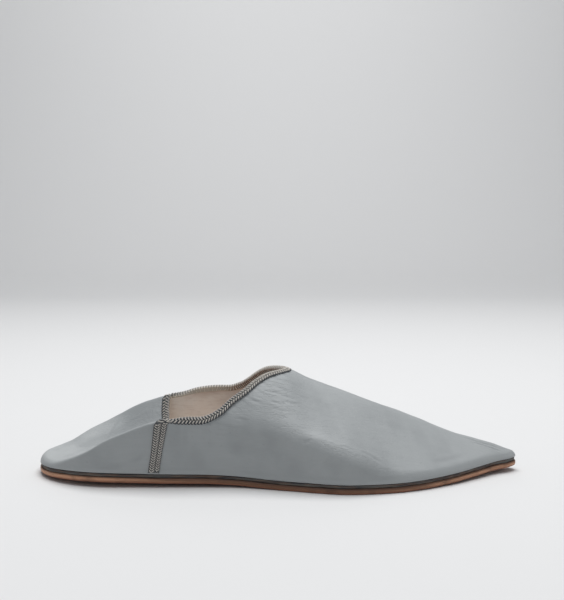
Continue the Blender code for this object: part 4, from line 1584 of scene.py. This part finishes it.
@dataclass
class EdgeBraid:
    """Tape and threads sewn over the leather's edge round the foot opening."""

    skin: Skin
    width: float = 0.0032
    inner_width: float = 0.0028
    wall: float = 0.00155
    tape: float = 0.00030
    tape_gap: float = 0.00003
    rim: float = 0.0001
    inward: float = 0.0012
    tape_step: float = 0.0007
    thread: float = 0.00031
    stitch_heights: Span = (0.25, 0.80)
    pitch: float = 0.00074
    heel_pitch: float = 0.00095
    slant: float = 0.00100
    first_back: float = 0.0002
    middle_share: float = 0.48
    outer_share: float = 0.96
    throat_shade_span: Span = (0.088, 0.108)
    tip_span: Span = (0.098, 0.118)
    tip_fade: float = 0.60
    wrap_tone: float = 0.62
    inside_pitch: float = 1.7
    inside_tone: float = 0.16
    cord_pitch: float = 1.9
    cord_reach: float = 1.6
    cord_margin: float = 0.0022
    corner_share: float = 0.292
    corner_overlap: float = 0.0012
    samples: int = 29
    depth: float = 0.0070
    inner_from: int = 13
    inner_to: int = 32

    def __post_init__(self) -> None:
        """Reads the band of leather along the opening and the ends of the two braids."""
        self.points, self.normals = self.skin.band(np.linspace(0.0, self.depth, self.samples))
        self.total = float(self.skin.arc[-1])
        self.first = self.skin.arc_at(self.corner_share, Side.OUTER)
        self.last = self.skin.arc_at(self.corner_share, Side.INNER)

    def spot(self, arc: Array, back: Array | float, lift: Array | float) -> tuple[Array, Array]:
        """Points on the band, by straight lines between its columns and distances.

        Args:
            arc: Distance round the opening.
            back: Distance down from the edge.
            lift: Height above the leather's outside; below it is negative.

        Returns:
            Points and outward normals.
        """
        arc, back, lift = np.broadcast_arrays(arc, back, lift)
        count = self.skin.ring.count
        column = np.interp(arc % self.total, self.skin.arc, np.arange(count + 1))
        low = np.minimum(column.astype(int), count - 1)
        part = (column - low)[..., None]
        place = np.clip(back / self.depth, 0.0, 1.0) * (self.samples - 1)
        near = np.minimum(place.astype(int), self.samples - 2)
        share = (place - near)[..., None]
        high = (low + 1) % count
        found = []
        for table in (self.points, self.normals):
            first = table[low, near] * (1.0 - part) + table[high, near] * part
            second = table[low, near + 1] * (1.0 - part) + table[high, near + 1] * part
            found.append(first * (1.0 - share) + second * share)
        normals = unit(found[1])
        return found[0] + normals * lift[..., None], normals

    def around(
        self, arc: Array, back: float, turn: Array, reach: float, over: float
    ) -> tuple[Array, Array]:
        """Points round the leather's edge, from its outside over the rim to its inside.

        Args:
            arc: Distances round the opening.
            back: Distance of the turn's middle down from the edge.
            turn: Angles from the outside, 0, to the inside, pi.
            reach: Distance from the middle at both sides.
            over: Distance from the middle at the rim.

        Returns:
            Points and directions from the middle, by distance, angle and axis.
        """
        centre, normal = self.spot(arc[:, None], back, -0.5 * self.wall)
        below, _ = self.spot(arc[:, None], self.inward, -0.5 * self.wall)
        ahead = unit(centre - below)
        out = normal * np.cos(turn)[:, None] * reach + ahead * np.sin(turn)[:, None] * over
        return centre + out, out

    def stitches(
        self, arc: Array, ends: Span, slant: float, inside: bool, radius: float
    ) -> Mesh:
        """A row of slanting stitches on one face of the band.

        Each runs between two distances from the edge, moves along by the slant, and rises from
        the tape in a half wave.

        Args:
            arc: Start of each stitch round the opening.
            ends: Distances from the edge at which it starts and ends.
            slant: How far it moves along on its way.
            inside: Whether the row is on the lining's face.
            radius: Radius of the thread.

        Returns:
            Points and groups of faces.
        """
        t = np.linspace(0.0, 1.0, STITCH_PLACES)
        height = self.tape + radius * between(self.stitch_heights, np.sin(np.pi * t))
        lift = -self.wall - height if inside else height
        points, normals = self.spot(arc[:, None] + slant * t, between(ends, t), lift)
        return tubes(points, -normals if inside else normals, radius)

    def wraps(self, arc: Array, radius: float) -> Mesh:
        """Stitches that turn over the edge from the outer face to the lining's face.

        Args:
            arc: Distances of the stitches along the edge.
            radius: Radius of the threads.

        Returns:
            Points and groups of faces.
        """
        turn = np.linspace(0.0, np.pi, STITCH_PLACES + 1)
        reach = 0.5 * self.wall + self.tape
        return tubes(*self.around(arc, self.rim, turn, reach, self.tape + self.rim), radius)

    def base(self, start: float, end: float) -> Array:
        """Folded tape: a rounded C of even thickness carried along the edge.

        Args:
            start: Where it starts round the opening.
            end: Where it ends.

        Returns:
            Points, by distance round the opening, place round the tape and axis.
        """
        arc = np.linspace(start, end, int((end - start) / self.tape_step) + 2)
        down = np.linspace(self.width, 0.0, 9)
        inner_down = np.linspace(0.0, self.inner_width, 8)
        turn = np.linspace(0.0, np.pi, 9)[1:-1]
        faces = []
        for lift, over in ((self.tape, self.tape + self.rim), (self.tape_gap, 2.0 * self.tape_gap)):
            outer = self.spot(arc[:, None], down, lift)[0]
            edge = self.around(arc, 0.0, turn, 0.5 * self.wall + lift, over)[0]
            inner = self.spot(arc[:, None], inner_down, -self.wall - lift)[0]
            faces.append(np.concatenate([outer, edge, inner], axis=1))
        return np.concatenate([faces[0], faces[1][:, ::-1]], axis=1)

    def sew(
        self, name: str, slot: Slot, start: float, end: float, chevron: float, pitch: float
    ) -> None:
        """Makes one braid: its tape and all its threads, paler towards the throat's tip.

        Args:
            name: Start of the pieces' names.
            slot: Solid that the braid stands for.
            start: Where it starts round the opening.
            end: Where it ends.
            chevron: Direction in which the chevrons point, 1 or -1.
            pitch: Distance between neighbouring stitches.
        """
        section = self.base(start, end)
        inside = np.zeros(section.shape[:2])
        inside[:, self.inner_from : self.inner_to] = 1.0
        # painted shade: the tape's lining side browner towards the throat
        worn = ramp(section[..., 0], *self.throat_shade_span)
        mesh = section, flipped(strip_faces(section))
        tape = make_piece(name + "_tape", mesh, BRAID_TAPE, slot, lining=inside, worn=worn)
        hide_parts(slot.value)
        arc = np.arange(start + 0.3 * pitch, end - 0.3 * pitch, pitch)
        dark = alternate(len(arc))
        fade = 1.0 - self.tip_fade * ramp(self.spot(arc, 0.0, 0.0)[0][:, 0], *self.tip_span)
        wide = np.arange(start + pitch, end - pitch, self.inside_pitch * pitch)
        cord = np.arange(start + self.cord_margin, end - self.cord_margin, self.cord_pitch * pitch)
        middle, outer = self.middle_share * self.width, self.outer_share * self.width
        slant, thread = chevron * self.slant, self.thread
        upper_leg = self.stitches(arc, (self.first_back, middle), slant, False, thread)
        lower_leg = self.stitches(arc + slant, (middle, outer), -slant, False, thread)
        ends = (self.first_back, self.inner_width)
        inner_row = self.stitches(wide, ends, 0.0, True, 0.9 * thread)
        ends = (outer + 0.0001, outer + 0.0004)
        edge_cord = self.stitches(cord, ends, self.cord_reach * pitch, False, 0.75 * thread)
        rows = [
            (self.wraps(arc, 0.95 * thread), self.wrap_tone * dark * fade),
            (upper_leg, dark * fade),
            (lower_leg, (1.0 - dark) * (0.5 + 0.5 * fade)),
            (inner_row, self.inside_tone * alternate(len(wide))),
            (edge_cord, np.ones(len(cord))),
        ]
        make_threads(name + "_threads", rows, slot)

    def build(self) -> None:
        """Makes the throat's braid and the heel's braid, which stop short of each other."""
        self.sew("throat_braid", Slot.THROAT, self.first, self.last, 1.0, self.pitch)
        start, end = self.last - self.total + self.corner_overlap, self.first - self.corner_overlap
        self.sew("heel_braid", Slot.HEEL, start, end, -1.0, self.heel_pitch)


@dataclass
class SeamBraid:
    """Tape with two columns of chevron stitches over the side seam."""

    skin: Skin
    side: Side
    slot: Slot
    width: float = 0.0066
    station: float = 0.262
    read_span: Span = (0.050, 0.090)
    slant: float = 0.0037
    corner_shift: float = 0.0028
    narrowing: float = 0.30
    foot_share: float = 0.82
    foot_gap: float = 0.0006
    edge_gap: float = 0.0027
    tape: float = 0.00035
    tape_gap: float = 0.00002
    thread: float = 0.00028
    stitch_heights: Span = (0.3, 0.9)
    pitch: float = 0.00062
    stitch_rise: float = 0.0014
    columns: Rows = ((-0.42, 0.48), (0.56, 0.36))
    line_places: Span = (-0.96, 0.13, 0.96)
    line_pitch: float = 1.7
    line_slant: float = 0.0001
    line_radius: float = 0.62
    line_tone: float = 0.92

    def __post_init__(self) -> None:
        """Picks this side's columns of the wall, in order from heel to toe."""
        skin, ring = self.skin, self.skin.ring
        order = np.arange(1, ring.toe)
        if self.side is Side.INNER:
            order = np.arange(ring.count - 1, ring.toe, -1)
        low, high = self.read_span
        order = order[(ring.x[order] > low) & (ring.x[order] < high)]
        self.levels = np.concatenate([np.linspace(0.0, 1.0, 9), np.linspace(1.0, 2.0, 13)[1:]])
        wall = np.linalg.norm(skin.wall_top - skin.wall_foot, axis=1)[order, None]
        whole = skin.travel[order, -1:] - self.edge_gap
        up = np.minimum(self.levels, 1.0) * (wall - self.foot_gap) + self.foot_gap
        wanted = up + np.clip(self.levels - 1.0, 0.0, 1.0) * (whole - wall)
        columns = skin.points[order], skin.normals[order]
        self.tables = np.concatenate(resample_skin(columns, skin.travel[order], wanted), axis=2)
        self.height = float(np.median(wall))
        self.top_height = float(np.median(whole - wall))

    def spot(self, across: Array, level: Array, lift: Array | float) -> tuple[Array, Array]:
        """Points beside the seam, up the wall and over the shoulder.

        Every level has its own line of points along the skin, at the same share of each
        column's way up, and the point wanted is read off that line at its x.

        Args:
            across: Distance from the seam's middle, towards the toe, by level and place.
            level: Way up, from 0 at the sole over 1 at the top of the wall to 2 at the corner.
            lift: Height above the leather, by level and place.

        Returns:
            Points and outward normals.
        """
        shape = np.broadcast_shapes(across.shape, level.shape)
        across, level, lift = (np.broadcast_to(v, shape).reshape(-1) for v in (across, level, lift))
        over = np.clip(level - 1.0, 0.0, 1.0)
        lean = self.slant * (np.minimum(level, 1.0) - 0.5) + self.corner_shift * over
        narrow = between((self.foot_share, 1.0), ramp(level, 0.4, 1.0)) - self.narrowing * over**2
        x = self.station * self.skin.ring.last.length + lean + across * narrow
        place = np.interp(level, self.levels, np.arange(len(self.levels)))
        low = np.minimum(place.astype(int), len(self.levels) - 2)
        part = (place - low)[:, None]
        found = np.zeros((len(x), 6))
        for rows, weight in ((low, 1.0 - part), (low + 1, part)):
            for number in np.unique(rows):
                chosen, line = rows == number, self.tables[:, number]
                read = [np.interp(x[chosen], line[:, 0], values) for values in line.T]
                found[chosen] += np.stack(read, axis=1) * weight[chosen]
        normals = unit(found[:, 3:])
        points = found[:, :3] + normals * lift[:, None]
        return points.reshape(*shape, 3), normals.reshape(*shape, 3)

    def base(self) -> Array:
        """Flat tape with rounded edges, up the wall and over the shoulder to the corner.

        Returns:
            Points of the tape, by place along it, place round it and axis.
        """
        level = np.linspace(0.0, 2.0, 56)[:, None]
        across = np.linspace(-0.5, 0.5, 13)
        rounded = self.tape * np.sqrt(np.clip(1.0 - (2.0 * across) ** 8, 0.0, 1.0))
        far, _ = self.spot(across * self.width, level, 2.0 * self.tape_gap + rounded)
        near, _ = self.spot(across * self.width, level, self.tape_gap)
        return np.concatenate([far, near[:, ::-1]], axis=1)

    def leg(self, ends: Span, levels: Array, drop: float, radius: float) -> Mesh:
        """A column of parallel stitches, each from one distance across to another.

        Args:
            ends: Distances across at which each starts and ends.
            levels: Level of each stitch's start.
            drop: Change of level from start to end.
            radius: Radius of the thread.

        Returns:
            Points and groups of faces.
        """
        t = np.linspace(0.0, 1.0, STITCH_PLACES)
        level = np.clip(levels[:, None] + drop * t, 0.0, 2.0)
        lift = self.tape + radius * between(self.stitch_heights, np.sin(np.pi * t))
        return tubes(*self.spot(between(ends, t), level, lift), radius)

    def build(self) -> None:
        """Makes the tape and its four slanting columns with a dark line along each side."""
        name = "seam_braid_outside" if self.side is Side.OUTER else "seam_braid_inside"
        section = self.base()
        faces = strip_faces(section)
        mesh = section, flipped(faces) if self.side is Side.INNER else faces
        tape = make_piece(name + "_tape", mesh, BRAID_TAPE, self.slot)
        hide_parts(self.slot.value)
        step, top_step = self.pitch / self.height, self.pitch / self.top_height
        top_levels = np.arange(1.0 + 0.5 * top_step, 1.97, top_step)
        levels = np.concatenate([np.arange(0.5 * step, 1.0, step), top_levels])
        dark = alternate(len(levels))
        half, rise = 0.5 * self.width, self.stitch_rise / self.height
        rows = []
        for (place, share), shade in zip(self.columns, (dark, 1.0 - dark)):
            centre, reach = place * half, share * half
            leg = self.leg((centre - reach, centre), levels + rise, -rise, self.thread)
            rows.append((leg, shade))
            leg = self.leg((centre, centre + reach), levels, rise, self.thread)
            rows.append((leg, between((0.15, 0.90), shade)))
        line = np.arange(0.0, 1.9, self.line_pitch * step)
        for place in self.line_places:
            ends = (place * half - self.line_slant, place * half + self.line_slant)
            leg = self.leg(ends, line, 1.5 * step, self.line_radius * self.thread)
            rows.append((leg, np.full(len(line), self.line_tone)))
        make_threads(name + "_threads", rows, self.slot)


@dataclass
class Studio:
    """Pale floor that curves up behind, soft light from above, and the camera."""

    half_width: float = 4.0
    front: float = 2.5
    depth: float = 1.5
    bend: float = 0.9
    wall: float = 2.2
    sky: Colour = (0.93, 0.96, 1.0)
    sky_strength: float = 0.31
    lens: float = 56.40
    camera_place: Triple = (0.0018, -0.48459, 0.13421)
    camera_pitch: float = 5.230

    def floor(self) -> None:
        """Floor and backdrop in one sheet: flat, a quarter circle, then upright."""
        turn = np.linspace(0.0, 0.5 * np.pi, 25)
        back = self.depth + self.bend
        y = np.concatenate([[-self.front], self.depth + self.bend * np.sin(turn), [back]])
        z = np.concatenate([[0.0], self.bend * (1.0 - np.cos(turn)), [self.wall + self.bend]])
        ends = (-self.half_width, self.half_width)
        sides = [np.column_stack([np.full(len(y), x), y, z]) for x in ends]
        r, rows = np.arange(len(y) - 1), len(y)
        quads = np.stack([r, r + rows, r + rows + 1, r + 1], axis=1)
        mesh = bpy.data.meshes.new("floor")
        mesh.from_pydata(np.concatenate(sides).tolist(), [], quads.tolist())
        mesh.shade_smooth()
        mesh.materials.append(FLOOR_PAINT.material())
        sheet = place_object("floor", mesh)

    @staticmethod
    def lamp(name: str, place: Triple, aim: Triple, size: float, power: float) -> None:
        """Adds one square soft light, turned to its aim.

        Args:
            name: Name of the light.
            place: Where it stands.
            aim: Point that it faces.
            size: Side of its square.
            power: Power in watts.
        """
        light = bpy.data.lights.new(name, "AREA")
        light.size = size
        light.energy = power
        lamp = place_object(name, light)
        away = np.array(place) - np.array(aim)
        tilt = math.acos(away[2] / np.linalg.norm(away))
        lamp.location = place
        lamp.rotation_euler = (tilt, 0.0, math.atan2(away[1], away[0]) + 0.5 * math.pi)

    def build(self) -> None:
        """Sets floor, lights, sky and camera."""
        self.floor()
        self.lamp("key_light", (0.04, 0.20, 1.28), (0.0, 0.0, 0.0), 1.00, 15.8)
        self.lamp("backdrop_light", (0.0, 1.2, 1.9), (0.0, 2.4, 1.8), 1.5, 22.0)
        world = bpy.data.worlds.new("studio_sky")
        world.use_nodes = True
        background = world.node_tree.nodes["Background"]
        background.inputs["Color"].default_value = (*self.sky, 1.0)
        background.inputs["Strength"].default_value = self.sky_strength
        bpy.context.scene.world = world
        bpy.context.scene.view_settings.view_transform = "Standard"
        data = bpy.data.cameras.new("camera")
        data.lens = self.lens
        data.clip_start = 0.01
        camera = place_object("camera", data)
        camera.location = self.camera_place
        camera.rotation_euler = (math.radians(90.0 - self.camera_pitch), 0.0, 0.0)
        bpy.context.scene.camera = camera


def corners(box: tuple) -> list[list[float]]:
    """Two corners of a box as plain lists."""
    return [[float(value) for value in corner] for corner in box]


def main() -> None:
    """Builds the slipper and its studio."""
    logging.basicConfig(level=logging.INFO, format="%(name)s %(message)s")
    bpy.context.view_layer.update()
    Studio().build()
    last = Last()
    Sole(Ring(last, 300)).build()
    skin = Skin(Ring(last, 270))
    Upper(skin).build()
    EdgeBraid(skin).build()
    SeamBraid(skin, Side.OUTER, Slot.SEAM_OUTER).build()
    SeamBraid(skin, Side.INNER, Slot.SEAM_INNER).build()


if __name__ == "__main__":
    main()
